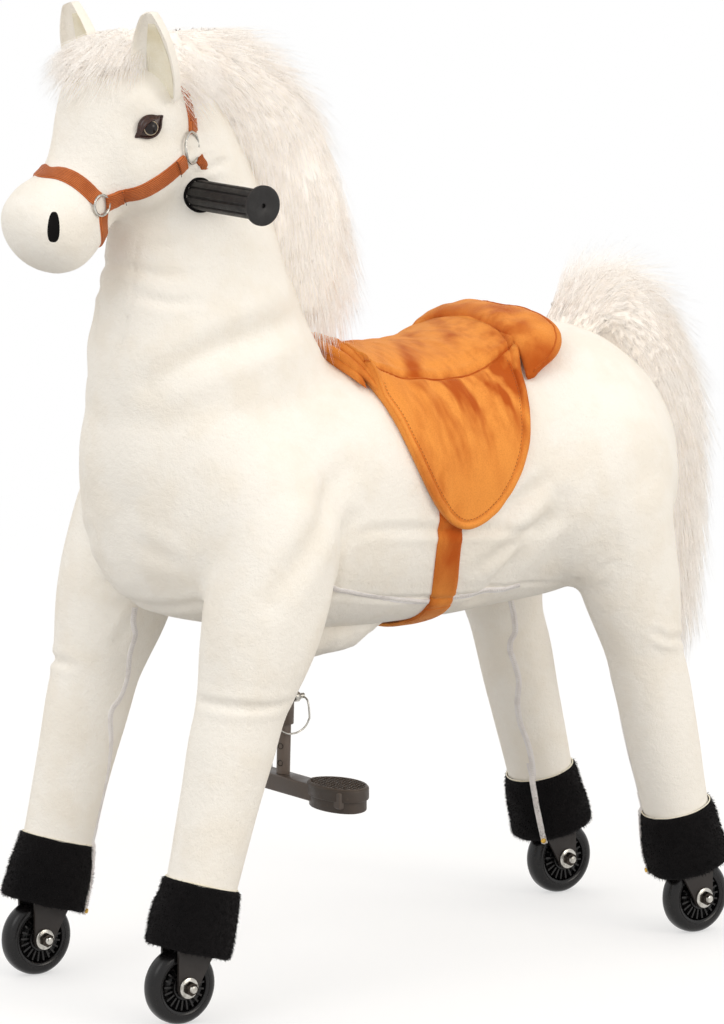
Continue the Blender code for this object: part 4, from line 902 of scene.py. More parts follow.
def addForm(bm, form, rings=40, count=64):
    first, last = form["stations"][0][0], form["stations"][-1][0]
    turns = np.linspace(0, math.pi, rings)
    shares = 0.5 * np.cos(turns) + 0.5 * (1 - 2 * turns / math.pi)
    places = (first + last) / 2 - (last - first) / 2 * shares
    angles = np.linspace(0, fullTurn, count, endpoint=False)
    verts = [bm.verts.new(p) for p in formPoints(form, places, angles).reshape(-1, 3)]
    for face in cappedFaces(rings, count):
        bm.faces.new([verts[k] for k in face])


def ballMatrix(centre, radii, turn=0.0):
    grown = Matrix.Translation(centre) @ Matrix.Rotation(math.radians(turn), 4, "X")
    return grown @ Matrix.Diagonal((*radii, 1))


def addBall(bm, u, v, *placed):
    matrix = ballMatrix(*placed)
    bmesh.ops.create_uvsphere(bm, u_segments=u, v_segments=v, radius=1.0, matrix=matrix)


def skinForms():
    bm = bmesh.new()
    for form in (torsoForm, neckForm, headForm):
        addForm(bm, form)
    for side in sides.values():
        for pair in legs:
            addForm(bm, legForm(pair, side))
        for centre, radii, turn in body["lumps"]:
            addBall(bm, 40, 24, (side * centre[0], *centre[1:]), radii, turn)
    bmesh.ops.recalc_face_normals(bm, faces=bm.faces)
    return meshFrom("bodyForms", bm)


def nearLine(points, line):
    # How far each point lies from a line, and how far along it the nearest place is
    run = smoothPath(line, 40)
    away = np.linalg.norm(points[:, None] - run[None], axis=2)
    return away.min(1), away.argmin(1) / 39


def shapeSkin():
    forms = skinForms()
    modifier = forms.modifiers.new("union", "REMESH")
    modifier.mode, modifier.voxel_size = "VOXEL", body["voxel"]
    mesh = evaluated(forms)
    discard(forms)
    total = len(mesh.vertices)
    points = np.zeros(total * 3)
    mesh.vertices.foreach_get("co", points)
    points = points.reshape(-1, 3)
    edges = np.zeros(len(mesh.edges) * 2, int)
    mesh.edges.foreach_get("vertices", edges)
    starts, ends = edges.reshape(-1, 2).T
    degree = np.bincount(np.concatenate([starts, ends]), minlength=total)[:, None]

    def around(values):
        # Each vertex's mean over its neighbours
        sums = np.zeros_like(values)
        for k in range(values.shape[1]):
            sums[:, k] = np.bincount(starts, values[ends, k], total)
            sums[:, k] += np.bincount(ends, values[starts, k], total)
        return sums / degree

    def eased(points, share, times=1):
        for _ in range(times):
            points = points + share * (around(points) - points)
        return points

    def normals():
        mesh.vertices.foreach_set("co", points.ravel())
        mesh.update()
        found = np.zeros(total * 3)
        mesh.vertex_normals.foreach_get("vector", found)
        return found.reshape(-1, 3)

    points = eased(points, 0.5, 4)
    # Only the creases between forms are rounded further, as stuffing rounds them
    hollow = np.clip(((around(points) - points) * normals()).sum(1) / 0.00025, 0, 1)[:, None]
    for _ in range(5):
        hollow = np.maximum(hollow, around(hollow))
    points = eased(points, 0.5 * hollow, body["creaseSoftening"])
    points = eased(points, 0.3, 3)

    facing = normals()
    push = np.zeros(total)
    for where in (points, points * (-1, 1, 1)):
        for *centre, radius, depth in metres(body["dents"]):
            away = np.linalg.norm(where - np.array(centre), axis=1)
            push += depth * np.exp(-((away / radius) ** 2))
        for width, depth, ridge, *line in body["folds"]:
            line, width, depth = metres(line), width / 1000, depth / 1000
            low, high = np.min(line, axis=0) - 4 * width, np.max(line, axis=0) + 4 * width
            near = np.nonzero(((where > low) & (where < high)).all(1))[0]
            away, share = nearLine(where[near], line)
            fade = np.clip(np.sin(math.pi * np.clip(share, 0.04, 0.96)), 0, 1) ** 0.5
            valley = np.exp(-((away / width) ** 2))
            bank = np.exp(-(((away - 2.1 * width) / width) ** 2))
            push[near] += body["foldStrength"] * fade * depth * (valley - 0.5 * ridge * bank)
    for i, point in enumerate(points):
        for scale, depth in body["noise"]:
            push[i] += depth * 0.5 * noise.noise(Vector(point) * scale)
    points = eased(points + facing * push[:, None], 0.25)
    normals()
    return mesh


def splitSkin(mesh):
    # The skin as a body and four legs that share their border points, with one shading
    bm = bmesh.new()
    bm.from_mesh(mesh)
    cut = body["legCut"]
    geometry = bm.verts[:] + bm.edges[:] + bm.faces[:]
    bmesh.ops.bisect_plane(bm, geom=geometry, plane_co=(0, 0, cut), plane_no=(0, 0, 1))
    bm.normal_update()
    bm.verts.ensure_lookup_table()
    groups = {"body": []}
    for face in bm.faces:
        centre = face.calc_center_median()
        leg = ("front" if centre.y < 0 else "rear", "Left" if centre.x > 0 else "Right")
        groups.setdefault("body" if centre.z > cut else leg, []).append(face)
    made = {}
    for key, faces in groups.items():
        name = "bodyPlush" if key == "body" else f"{key[0]}Leg{key[1]}Plush"
        ids = {}
        rows = [[ids.setdefault(v, len(ids)) for v in face.verts] for face in faces]
        order = list(ids)
        piece = bpy.data.meshes.new(name)
        piece.from_pydata([v.co.copy() for v in order], [], rows)
        # The cut is closed inside, where nothing shows
        shut = bmesh.new()
        shut.from_mesh(piece)
        bmesh.ops.holes_fill(shut, edges=[edge for edge in shut.edges if edge.is_boundary])
        shut.to_mesh(piece)
        shut.free()
        piece.shade_smooth()
        piece.normals_split_custom_set_from_vertices([v.normal.copy() for v in order])
        piece.materials.append(plushWhite)
        made[key] = linked(name, piece)
    bm.free()
    return made


skinMesh = shapeSkin()
skinTree = treeOf(skinMesh)
plushParts = splitSkin(skinMesh)
print("plush skin:", len(skinMesh.vertices), "points")


def onSkin(point, lift=0.0):
    place, normal, index, away = skinTree.find_nearest(Vector(point))
    return place + normal * lift, normal


def bendWithLeg(piece):
    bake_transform(piece)


def fitSkin():
    for key, piece in plushParts.items():
        if key == "body":
            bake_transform(piece)
            nodes = ("torso_cover", "neck_cover", "head_cover")
        else:
            bendWithLeg(piece)
            nodes = (f"{key[0]}_{key[1].lower()}_leg_cover",)
        declare([piece], None, "plush_white", *nodes, fill=0.85)


# Bands and patches that lie on the plush

def mirrorX(path, side=-1):
    return [(side * x, y, z) for x, y, z in path]


def surfaceBand(name, path, width, thick, finish, lift=0.0, steps=60, columns=9, level=0):
    # A flat strip that follows the skin; its UV map runs across and along it in metres
    spots = [onSkin(p) for p in smoothPath(path, steps)]
    for _ in range(level):
        trios = zip(spots, spots[1:], spots[2:])
        spots[1:-1] = [onSkin((a[0] + 2 * b[0] + c[0]) / 4) for a, b, c in trios]
    lifts = lift if hasattr(lift, "__len__") else [lift] * steps
    shares = np.linspace(-0.5, 0.5, columns)
    across = [share * width for share in shares]
    verts, uvs, length = [], [], 0.0
    for i, (place, normal) in enumerate(spots):
        ahead = spots[min(i + 1, steps - 1)][0] - spots[max(i - 1, 0)][0]
        side = ahead.cross(normal).normalized()
        if i:
            length += (place - spots[i - 1][0]).length
        top, under = [], []
        for share in shares:
            flat, up = onSkin(place + side * (share * width))
            edge = 1 - abs(2 * share) ** 8
            top.append(flat + up * (lifts[i] + thick * (0.35 + 0.65 * edge)))
            under.append(flat + up * (lifts[i] - 0.0008))
        verts += top + under[::-1]
        uvs += [(a, length) for a in across + across[::-1]]
    return meshOf(name, verts, cappedFaces(steps, 2 * columns), finish, uvs, sharp=50)


def skinPatch(name, centre, upward, outline, thickness, finish, rings=7, sunk=0.0012):
    # A domed patch whose outline is given as (across, up) from a point on the skin
    place, normal = onSkin(centre)
    up = (Vector(upward) - normal * normal.dot(Vector(upward))).normalized()
    across = up.cross(normal)
    rows = [(k / rings, thickness * (1 - (k / rings) ** 3) ** 0.5) for k in range(1, rings + 1)]
    verts = []
    for share, height in rows + [(1, -sunk)]:
        for a, b in outline:
            verts.append(onSkin(place + across * (a * share) + up * (b * share), height)[0])
    verts += [onSkin(place, height)[0] for height in (thickness, -sunk)]
    return meshOf(name, verts, domedFaces(rings + 1, len(outline)), finish)


def loopPath(centre, direction, radius, count=40, tall=1.0, hint=zAxis):
    # A ring of points round a direction; tall stretches it along the hint
    first, second, _ = basisAlong(direction, hint)
    return [Vector(centre) + spoke * radius for spoke in spokesOf(first * tall, second, count)]


# Ears, eyes and nostrils

ears = {
    "Left": {"base": (0.053, -0.284, 0.936), "grow": (0.11, -0.25, 1.0), "face": (0.52, -1, 0)},
    "Right": {"base": (-0.051, -0.291, 0.938), "grow": (-0.11, -0.27, 1.0), "face": (0.16, -1, 0)},
    "height": 0.097,
    "half": 0.0240,
    "cup": 0.0175,
    "wall": 0.0120,
    "wrap": (88, 66),
}
eye = {
    "centre": (0.064, -0.3155, 0.9105),
    "corners": ((0.060, -0.330, 0.900), (0.066, -0.303, 0.920)),
    "half": 0.0142,
    "tall": 0.0110,
    "ball": 0.0080,
    "ballAt": (-0.0002, -0.0010),
    "dome": 0.0052,
    # share of the ball's radius and how far that ring stands out
    "rings": [
        (0.12, 0.0026), (0.3, 0.0025), (0.5, 0.0021), (0.68, 0.0015), (0.8, 0.0009),
        (0.845, 0.0012), (0.9, 0.0014), (0.95, 0.0010), (1.0, 0.0),
    ],
}
nostril = {
    "centre": (0.0440, -0.4180, 0.8140),
    "top": (0.0410, -0.4150, 0.8300),
    "half": 0.0062,
    "tall": 0.0165,
}


def makeEar(sideName):
    base, grow, face = (Vector(ears[sideName][key]) for key in ("base", "grow", "face"))
    grow.normalize()
    face = (face - grow * face.dot(grow)).normalized()
    across = grow.cross(face)
    rows, columns = 30, 28
    verts, inner = [], []
    for i in range(rows + 1):
        share = i / rows
        width = ears["half"] * math.sin(math.pi * (0.17 + 0.78 * share)) ** 0.72
        wrap = math.radians(ears["wrap"][0] * (1 - share) + ears["wrap"][1] * share)
        front, rear, line = [], [], []
        for j in range(columns + 1):
            turn = wrap * (2 * j / columns - 1)
            slide = across * width * math.sin(turn) / math.sin(wrap)
            sink = face * ears["cup"] * (width / ears["half"]) * (1 - math.cos(turn)) * 1.25
            centre = base + grow * (ears["height"] * share) + slide + sink
            centre += face * (0.010 * share * share)
            sideways = abs(2 * j / columns - 1)
            edge = (1 - sideways**12) ** 0.5
            rim = math.exp(-(((sideways - 0.88) / 0.12) ** 2))
            wall = ears["wall"] * (0.46 + 0.34 * edge + 0.62 * rim) * (1 - 0.30 * share)
            ripple = noise.noise(centre * 60) * 0.0008
            front.append(centre + face * (wall / 2 + ripple))
            rear.append(centre - face * (wall / 2 + ripple))
            line.append((centre, face * (wall / 2 + 0.0007)))
        verts += front + rear[::-1]
        inner.append(line)
    ear = meshOf("ear" + sideName, verts, cappedFaces(rows + 1, 2 * (columns + 1)), plushWhite)
    smooth = ("SMOOTH", {"factor": 0.5, "iterations": 2})
    finishOff(ear, smooth, ("SUBSURF", {"levels": 1, "render_levels": 1}))

    # The shaved lining lies inside the cup, a little short of the rim
    verts = []
    for i in range(1, rows - 3):
        margin = 8 + 3.5 * (i / (rows - 3)) ** 3
        top, under = [], []
        for j in range(columns + 1):
            at = margin + (columns - 2 * margin) * j / columns
            a, b = inner[i][int(at)], inner[i][int(at) + 1]
            centre, lift = a[0].lerp(b[0], at - int(at)), a[1].lerp(b[1], at - int(at))
            top.append(centre + lift)
            under.append(centre + lift * 0.4)
        verts += top + under[::-1]
    faces = cappedFaces(rows - 4, 2 * (columns + 1))
    lining = meshOf("earLining" + sideName, verts, faces, earLining)
    declare([ear], "neck", "plush_white", "ear_" + sideName.lower(), fill=0.5)
    declare([lining], "neck", "plush_white")


def makeEye(sideName):
    side = sides[sideName]
    centre, normal = onSkin(mirrorX([eye["centre"]], side)[0])
    front, rear = (Vector(corner) for corner in mirrorX(eye["corners"], side))
    length = rear - front
    length = (length - normal * normal.dot(length)).normalized()
    up = normal.cross(length) * side
    up = up if up.z > 0 else -up
    half, tall, dome = eye["half"], eye["tall"], eye["dome"]

    def onEye(a, b, lift=0.0):
        fall = (a / (half * 1.04)) ** 2 + (b / (tall * 1.06)) ** 2
        height = dome * max(1 - fall, 0.0) ** 0.6 + 0.0004
        return centre + length * a + up * b + normal * (height + lift)

    def outline(turn, scale=1.0):
        # An almond whose corners run out to points
        a = half * math.cos(turn) * (1 + 0.26 * abs(math.cos(turn)) ** 14)
        b = tall * math.sin(turn) * abs(math.sin(turn)) ** 0.55
        return a * scale, b * scale

    def onBall(turn, share):
        a, b = eye["ballAt"]
        reach = eye["ball"] * share
        return a + reach * math.cos(turn), b + reach * math.sin(turn)

    turns = [fullTurn * j / 64 for j in range(64)]
    # The almond under everything, sunk into the plush
    rows = [(0.2, -0.0006), (0.5, -0.0006), (0.8, -0.0006), (1.0, -0.0006), (1.0, -0.0050)]
    verts = [onEye(*outline(t, scale), lift) for scale, lift in rows for t in turns]
    verts += [onEye(0, 0, -0.0006), onEye(0, 0, -0.012)]
    socket = meshOf("eyeSocket" + sideName, verts, domedFaces(5, 64), eyeLid)
    # The rolled rim of the lids, thin towards the corners
    path = [onEye(*outline(t, 0.985), 0.0002) for t in turns]
    radii = [0.0009 + 0.0005 * abs(math.sin(t)) for t in turns]
    rim = tube("eyeRim" + sideName, path, radii, eyeLid, 8, closed=True)

    # The ball with its pale ring
    rows = [(share, lift + 0.0008) for share, lift in eye["rings"]] + [(1.0, -0.003)]
    verts = [onEye(*onBall(t, share), lift) for share, lift in rows for t in turns]
    verts += [onEye(*eye["ballAt"], 0.0034), onEye(*eye["ballAt"], -0.003)]
    ball = meshOf("eye" + sideName, verts, domedFaces(len(rows), 64), eyeDark)
    ball.data.materials.append(eyeRing)
    middle = onEye(*eye["ballAt"])
    for face in ball.data.polygons:
        flat = face.center - middle
        flat -= normal * normal.dot(flat)
        if 0.83 * eye["ball"] < flat.length < 0.955 * eye["ball"]:
            face.material_index = 1

    # The upper lid: a domed strip from its lower lip to the top of the almond
    verts, columns = [], 33
    for level in range(9):
        for j in range(columns):
            a, high = outline(math.pi * (1 - j / (columns - 1)), 0.97)
            low = -0.0036 + 0.0078 * math.cos(0.9 * a / half) ** 2 + 0.0010 * a / half
            low = min(low, high)
            if level == 0:
                verts.append(onEye(a, low + 0.0004, -0.0012))
                continue
            step = (level - 1) / 7
            swell = math.sin(math.pi * min(step + 0.28, 1.0)) * (1 - abs(a / half) ** 3)
            verts.append(onEye(a, low + (high - low) * step, 0.0010 + 0.0024 * swell))
    verts += [point - normal * 0.0035 for point in verts[8 * columns :]]
    lid = meshOf("eyelid" + sideName, verts, gridFaces(10, columns), eyeLid)
    declare([ball], "neck", "eye_gloss", "eye_" + sideName.lower())
    declare([socket, rim, lid], "neck", "eye_gloss")


def makeNostril(sideName):
    outline = []
    for j in range(40):
        t = fullTurn * j / 40
        wide = math.copysign(abs(math.cos(t)) ** 0.62, math.cos(t)) * (1 - 0.14 * math.sin(t))
        outline.append((nostril["half"] * wide, nostril["tall"] * math.sin(t)))
    places = mirrorX([nostril["centre"], nostril["top"]], sides[sideName])
    centre, top = (Vector(place) for place in places)
    slit = skinPatch("nostril" + sideName, centre, top - centre, outline, 0.0009, felt)
    declare([slit], "neck", "plush_black")


for sideName in sides:
    makeEar(sideName)
    makeEye(sideName)
    makeNostril(sideName)
print("ears, eyes and nostrils made")


# Webbing halter with its rings and stitching

# Paths in millimetres, on the left side
halter = {
    "width": 0.0165,
    "thickness": 0.0022,
    "noseband": [
        (0, -403.5, 870), (18, -397, 869), (34, -388, 862), (43, -378, 851), (46.5, -367.5, 839),
    ],
    "cheekStrap": [
        (45.5, -355.5, 833), (48, -342, 835), (58, -324, 843), (68, -307, 853), (69, -290, 863),
        (64, -274, 872),
    ],
    "crown": [
        (55, -256, 899), (55, -257, 911), (55, -260, 926), (54, -263, 937), (50, -266, 951),
        (34, -266, 966), (0, -266, 972),
    ],
    "throat": [(57, -250, 874), (57, -244, 866), (55, -240, 858), (50, -238, 850)],
    "chin": [
        (45, -357, 823), (44, -356, 814), (40, -352, 804), (28, -346, 795), (13, -343, 791),
        (0, -342, 790),
    ],
    # centre, radius, wire and how far each ring stands out
    "noseRing": ((0.0470, -0.3625, 0.8325), 0.0104, 0.0014, 0.0030),
    "cheekRing": ((0.0580, -0.2620, 0.8850), 0.0150, 0.0015, 0.0036),
    "cheekRingFaces": (0.84, 0.50, 0.05),
}


def stitchRow(name, points, lift, unit, finish, spacing, body):
    # A line of stitches laid on the skin, each sunk a little into what it holds
    spots, ups = zip(*[onSkin(p, lift) for p in smoothPath(points, 80)])
    made = unitRow(name, spots, ups, unit, finish, spacing)
    made.data.shade_smooth()
    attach(made, body)


def makeHalter():
    width, thick = halter["width"], halter["thickness"]
    lace = unitOf("stitch", (0.0015, 0.00035, 0.00035))
    paths = ("noseband", "cheekStrap", "crown", "throat", "chin")
    half = {key: metres(halter[key]) for key in paths}
    straps = []

    def strap(name, path, size=width, lift=0.0, steps=60, node=None, level=0):
        piece = surfaceBand(name, path, size, thick, webbing, lift, steps, level=level)
        straps.append(piece)
        if node:
            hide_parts(node)

    def endLift(steps, start, run):
        return np.clip((np.abs(np.linspace(-1, 1, steps)) - start) / run, 0, 1) * 0.0024

    nose, crown, chin = half["noseband"], half["crown"], half["chin"]
    path = mirrorX(nose[:0:-1]) + nose
    strap("halterNoseband", path, lift=endLift(90, 0.93, 0.05), steps=90, node="noseband", level=25)
    strap("halterCrown", mirrorX(crown[:-1]) + crown[::-1], 0.0130, 0.0, 90, "crown_strap")
    strap("halterChin", chin + mirrorX(chin[-2::-1]), 0.0150, 0.0, 70, "jaw_strap")
    for sideName, side in sides.items():
        cheek = mirrorX(half["cheekStrap"], side)
        node = "cheek_strap_" + sideName.lower()
        strap("halterCheek" + sideName, cheek, lift=endLift(60, 0.9, 0.08), node=node)
        sink = np.linspace(0, -0.004, 30)
        strap("halterThroat" + sideName, mirrorX(half["throat"], side), 0.0110, sink, 30)
        # Each end is folded back round its ring and sewn: a second layer
        fold, top = smoothPath(cheek, 60), smoothPath(mirrorX(crown[:4], side), 40)
        for name, path, size, steps in (
            ("halterCheekFold", fold[1:13], width * 0.99, 12),
            ("halterCheekHem", fold[52:58], width * 0.99, 8),
            ("halterCrownFold", top[2:15], 0.0128, 12),
        ):
            strap(name + sideName, path, size, thick * 0.9, steps)
        for name, at, low in (("halterCheekStitch", 12, 10), ("halterHemStitch", 51, 49)):
            place, normal = onSkin(fold[at])
            ahead = Vector(fold[low + 4]) - Vector(fold[low])
            across = ahead.cross(normal).normalized() * (width * 0.48)
            line = [place - across, place, place + across]
            stitchRow(name + sideName, line, thick * 1.75, lace, darkSteel, 0.0026, "neck")
        rings = []
        for part in ("noseRing", "cheekRing"):
            spot, radius, wire, out = halter[part]
            centre, normal = onSkin((side * spot[0], *spot[1:]))
            tall = 1.0
            if part == "cheekRing":
                normal, tall = Vector(mirrorX([halter["cheekRingFaces"]], side)[0]), 1.08
            path = loopPath(centre + normal * out, normal, radius, 48, tall)
            rings.append(tube(part + sideName, path, wire, zinc, 12, closed=True))
        node = "halter_ring_" + sideName.lower()
        declare([merged("halterRings" + sideName, rings)], "neck", "zinc_steel", node)
    discard(lace)
    declare(straps, "neck", "webbing_orange")
    print("halter made:", len(straps), "straps")


makeHalter()


# Faux fur: mane, forelock and tail on soft bases, and the fuzz of the hoof cuffs

fur = {
    "mane": {
        "shrink": 0.008,
        "rows": [
            (690, 112, 48, 34, 44, 2), (705, 106, 56, 58, 54, 2), (740, 98, 62, 66, 62, 2),
            (800, 104, 64, 68, 64, 2), (860, 122, 70, 72, 60, 2), (920, 155, 80, 74, 53, 2),
            (965, 195, 80, 66, 45, 2), (992, 225, 60, 52, 34, 2), (1005, 240, 24, 22, 18, 2),
        ],
        "hairs": {
            "Density": 46000, "Spread": 0.12, "Locks": 22.0, "Gather": 0.55, "Shortest": 0.026,
            "Longest": 0.070, "Thickness": 0.0007, "Waves": 20.0, "Sway": 0.016, "Droop": 0.010,
        },
    },
    "forelock": {
        "ball": ((0.0, -0.322, 0.978), (0.048, 0.042, 0.020), 22),
        "poll": ((0.0, -0.262, 0.956), (0.058, 0.040, 0.032)),
        "hairs": {
            "Density": 110000, "Spread": 0.18, "Locks": 34.0, "Gather": 0.6, "Shortest": 0.014,
            "Longest": 0.038, "Thickness": 0.0006, "Waves": 30.0, "Sway": 0.008, "Droop": 0.012,
        },
    },
    "tail": {
        # place along the horse, height and radius in millimetres
        "path": [
            (262, 640, 26), (290, 672, 34), (330, 672, 42), (366, 632, 47), (386, 570, 50),
            (395, 500, 50), (396, 430, 47), (392, 370, 39), (390, 325, 23), (390, 300, 8),
        ],
        "shrink": 0.84,
        "hairs": {
            "Density": 52000, "Spread": 0.10, "Locks": 20.0, "Gather": 0.50, "Shortest": 0.034,
            "Longest": 0.090, "Thickness": 0.0007, "Waves": 16.0, "Sway": 0.020, "Droop": 0.004,
        },
    },
}


def unit(vectors):
    return vectors / np.maximum(np.linalg.norm(vectors, axis=1), 1e-9)[:, None]


def combed(base, flows, across, along, depth):
    # Presses long locks into a base, which run along its flow
    spots, out = pointsOf(base), pointsOf(base, normals=True)
    press = np.zeros((len(spots), 1))
    for i, rows in enumerate(zip(spots, unit(np.cross(out, flows)), flows)):
        spot, side, flow = (Vector(row) for row in rows)
        press[i] = noise.noise(side * (spot.dot(side) / across) + flow * (spot.dot(flow) / along))
    base.data.vertices.foreach_set("co", (spots + out * press * depth).ravel())
    base.data.update()


def makeMane(strand):
    data = fur["mane"]
    form = formOf((0, 0, 1), (0, -1, 0), data["rows"])
    rows, count = 60, 110
    angles = np.linspace(0, fullTurn, count, endpoint=False)
    loops = formPoints(form, np.linspace(0.700, 0.996, rows), angles, -data["shrink"])
    base = meshOf("mane", loops.reshape(-1, 3), cappedFaces(rows, count), furWhite)
    high = np.clip((pointsOf(base)[:, 2] - 0.885) / 0.10, 0, 1)[:, None]
    flow = high * (0, 0.95, -0.16) + (1 - high) * (0, 0.12, -1.0)
    flow = unit(flow + 0.24 * pointsOf(base, normals=True))
    combed(base, flow, 0.011, 0.060, 0.0065)
    addHair(base, flow, strand, furWhite, 3, data["hairs"])
    declare([base], "neck", "fur_white", "mane")


def makeForelock(strand):
    data = fur["forelock"]
    bm = bmesh.new()
    for ball in (data["ball"], data["poll"]):
        addBall(bm, 90, 48, *ball)
    bm.verts.index_update()
    points, faces = [v.co.copy() for v in bm.verts], []
    for face in bm.faces:
        ids = [v.index for v in face.verts]
        first = ids.index(min(ids))
        faces.append(ids[first:] + ids[:first])
    bm.free()
    # Hairs are drawn face by face, so the faces get an order that is the same each run
    base = meshOf("forelock", points, sorted(faces), furWhite)
    spots, out = pointsOf(base), pointsOf(base, normals=True)
    wide = spots[:, :1] / data["ball"][1][0] * (1, 0, 0)
    rear = np.clip((spots[:, 1:2] + 0.300) / 0.020, 0, 1)
    flow = (1 - rear) * (0.45 * wide + (0, -0.80, -0.35)) + rear * (0.60 * wide + (0, 0.70, -0.50))
    combed(base, unit(flow), 0.008, 0.030, 0.0045)
    addHair(base, unit(flow + 0.26 * out), strand, furWhite, 11, data["hairs"])
    declare([base], "neck", "fur_white", "forelock")


def makeTail(strand):
    data = fur["tail"]
    rows, count = 90, 90
    knots = np.array(metres(data["path"]))
    path = smoothPath([(0, y, z) for y, z, r in knots], rows)
    steps = np.linalg.norm(np.diff(knots[:, :2], axis=0), axis=1)
    length = np.concatenate([[0], np.cumsum(steps)])
    radii = np.interp(np.linspace(0, length[-1], rows), length, knots[:, 2]) * data["shrink"]
    base = tube("tail", path, list(radii), furWhite, count, hint=xAxis)
    spots, out = pointsOf(base), pointsOf(base, normals=True)
    close = np.argmin(np.linalg.norm(spots[:, None] - path[None], axis=2), axis=1)
    flow = unit(np.gradient(path, axis=0))[close]
    combed(base, unit(flow), 0.010, 0.070, 0.0070)
    addHair(base, unit(flow + 0.16 * out), strand, furWhite, 29, data["hairs"])
    declare([base], "torso", "fur_white", "tail")


strand = hairUnit("furStrand", 0.6, 4)
makeMane(strand)
makeForelock(strand)
makeTail(strand)
print("mane, forelock and tail made")


# Hoof cuffs: long-pile plush over the leg's end, a little flared, with the pile standing out

cuff = {
    "low": 0.036,
    "high": 0.105,
    "topRadius": {"front": 0.0392, "rear": 0.0388},
    "lowRadius": {"front": 0.0440, "rear": 0.0430},
    # the rolled edges: (along the leg, outwards) from the top rim and from the foot
    "topEdge": [
        (-0.006, -0.005), (-0.001, -0.0035), (0.0005, -0.001), (-0.001, 0.0004), (-0.004, 0.0010),
    ],
    "lowEdge": [
        (0.003, 0.0006), (0.0005, -0.0012), (0, -0.004), (0.001, -0.008), (0.006, -0.012),
        (0.018, -0.013),
    ],
    "fuzz": {
        "Density": 260000, "Spread": 0.5, "Locks": 90.0, "Gather": 0.5, "Shortest": 0.0020,
        "Longest": 0.0042, "Thickness": 0.0005, "Waves": 60.0, "Sway": 0.0006, "Droop": 0.0,
    },
}


def legAxes(pair, side):
    form = legForm(pair, side)
    return [Vector(form[key]) for key in ("origin", "axis", "up")]


def makeCuff(pair, sideName, fuzz):
    side = sides[sideName]
    origin, axis, fore = legAxes(pair, side)
    low, high = cuff["low"], cuff["high"]
    top, foot = cuff["topRadius"][pair], cuff["lowRadius"][pair]
    profile = [(high + a, top + b) for a, b in cuff["topEdge"]]
    for share in np.linspace(0.12, 0.92, 9):
        swell = 0.0022 * math.sin(math.pi * share) + 0.0010 * share * share
        profile.append((high + (low - high) * share, top + (foot - top) * share + swell))
    profile += [(low + a, foot + b) for a, b in cuff["lowEdge"]]
    verts = []
    for place, radius in profile:
        for spoke in spokesOf(xAxis, fore, 56):
            spot = origin + axis * place + spoke * radius
            ripple = 0.0016 * noise.noise(spot * 42) + 0.0008 * noise.noise(spot * 120)
            wave = 0.0012 * noise.noise(spoke * 2.3 + origin)
            verts.append(spot + spoke * ripple + axis * wave)
    name = f"{pair}{sideName}"
    piece = meshOf(name + "HoofCuff", verts, cappedFaces(len(profile), 56), plushBlack)
    out, away = pointsOf(piece, normals=True), pointsOf(piece) - np.array(origin)
    line = np.array(axis)
    radial = unit(away - (away @ line)[:, None] * line)
    facing = (out * radial).sum(1)[:, None]
    flows = np.where(facing > 0.2, unit(out * 0.75 - line * 0.65), -radial)
    addHair(piece, flows, fuzz, furBlack, 40 + len(pair) + side, cuff["fuzz"])
    node = f"{pair}_{sideName.lower()}_hoof_cuff"
    declare([piece], pair + "_legs", "plush_black", node)
    # The seam where the cuff is sewn to the leg shows as a fine pale cord
    middle = origin + axis * (high + 0.0012)
    ring = [middle + spoke * (top - 0.0016) for spoke in spokesOf(xAxis, fore, 72)]
    seam = tube(name + "CuffSeam", ring, 0.0007, earLining, 8, closed=True)
    declare([seam], pair + "_legs", "plush_white")


fuzz = hairUnit("cuffFuzz", 0.3, 2)
for pair in legs:
    for sideName in sides:
        makeCuff(pair, sideName, fuzz)
discard(strand, fuzz)
print("hoof cuffs made")


# Saddle: a velvet panel over the back with rolled edges, a padded pommel and cantle, a girth

# Paths and the seat's thicknesses in millimetres
saddle = {
    # place along the back and height of the panel's edge, from its front corner to its rear one
    "edge": [
        (-68, 662), (-66, 645), (-60, 615), (-46, 562), (-26, 517), (-4, 489), (18, 479),
        (46, 486), (74, 510), (98, 548), (114, 595), (126, 630), (139, 650),
    ],
    # place along the back and the seat's thickness there
    "seat": [
        (-68, 23), (-60, 22.5), (-45, 17.5), (-20, 12.5), (45, 13), (100, 15), (125, 18),
        (139, 20),
    ],
    "flap": 0.0078,
    "rollWidth": 0.0075,
    "rollRise": 0.0022,
    "groove": 0.0018,
    # each roll's place, height over the back and radius
    "pommel": [(-0.0680, 0.0195, 0.0052), (-0.0785, 0.0155, 0.0050)],
    "pommelHalf": 45,
    "cantleInner": [
        (0, 131, 673.5), (35, 130, 673), (65, 129, 667), (88, 129, 656), (104, 128, 640),
        (113, 126, 621),
    ],
    "cantleOuter": [
        (0, 180, 680), (40, 187, 679), (72, 190, 672), (98, 184, 661), (114, 166, 645),
        (117, 134, 625),
    ],
    "cantleThick": 0.0115,
    "cantleSeam": 0.0085,
    "girthWidth": 0.0300,
    "girth": [
        (147, 2, 520), (142.5, 3.5, 478), (138.5, 5, 455.5), (129.5, 9, 433), (116, 16.5, 409),
        (97.5, 23, 390), (70, 27, 374), (35, 28, 364), (0, 28, 362),
    ],
}


def torsoPoint(y, angle, lift=0.0):
    bare = formPoints(torsoForm, [y], np.array([angle]))[0, 0]
    if not lift:
        return Vector(bare)
    proud = Vector(formPoints(torsoForm, [y], np.array([angle]), 0.001)[0, 0]) - Vector(bare)
    return Vector(bare) + proud.normalized() * lift


def angleAt(y, z):
    # The angle round the barrel at which its surface is this high, on the left side
    shift, up, down, side, square = atPlaces(torsoForm["stations"], np.array([y]))[0]
    share = (z - shift) / (up if z > shift else down)
    return math.copysign(math.asin(min(abs(share), 1.0) ** (square / 2)), share)


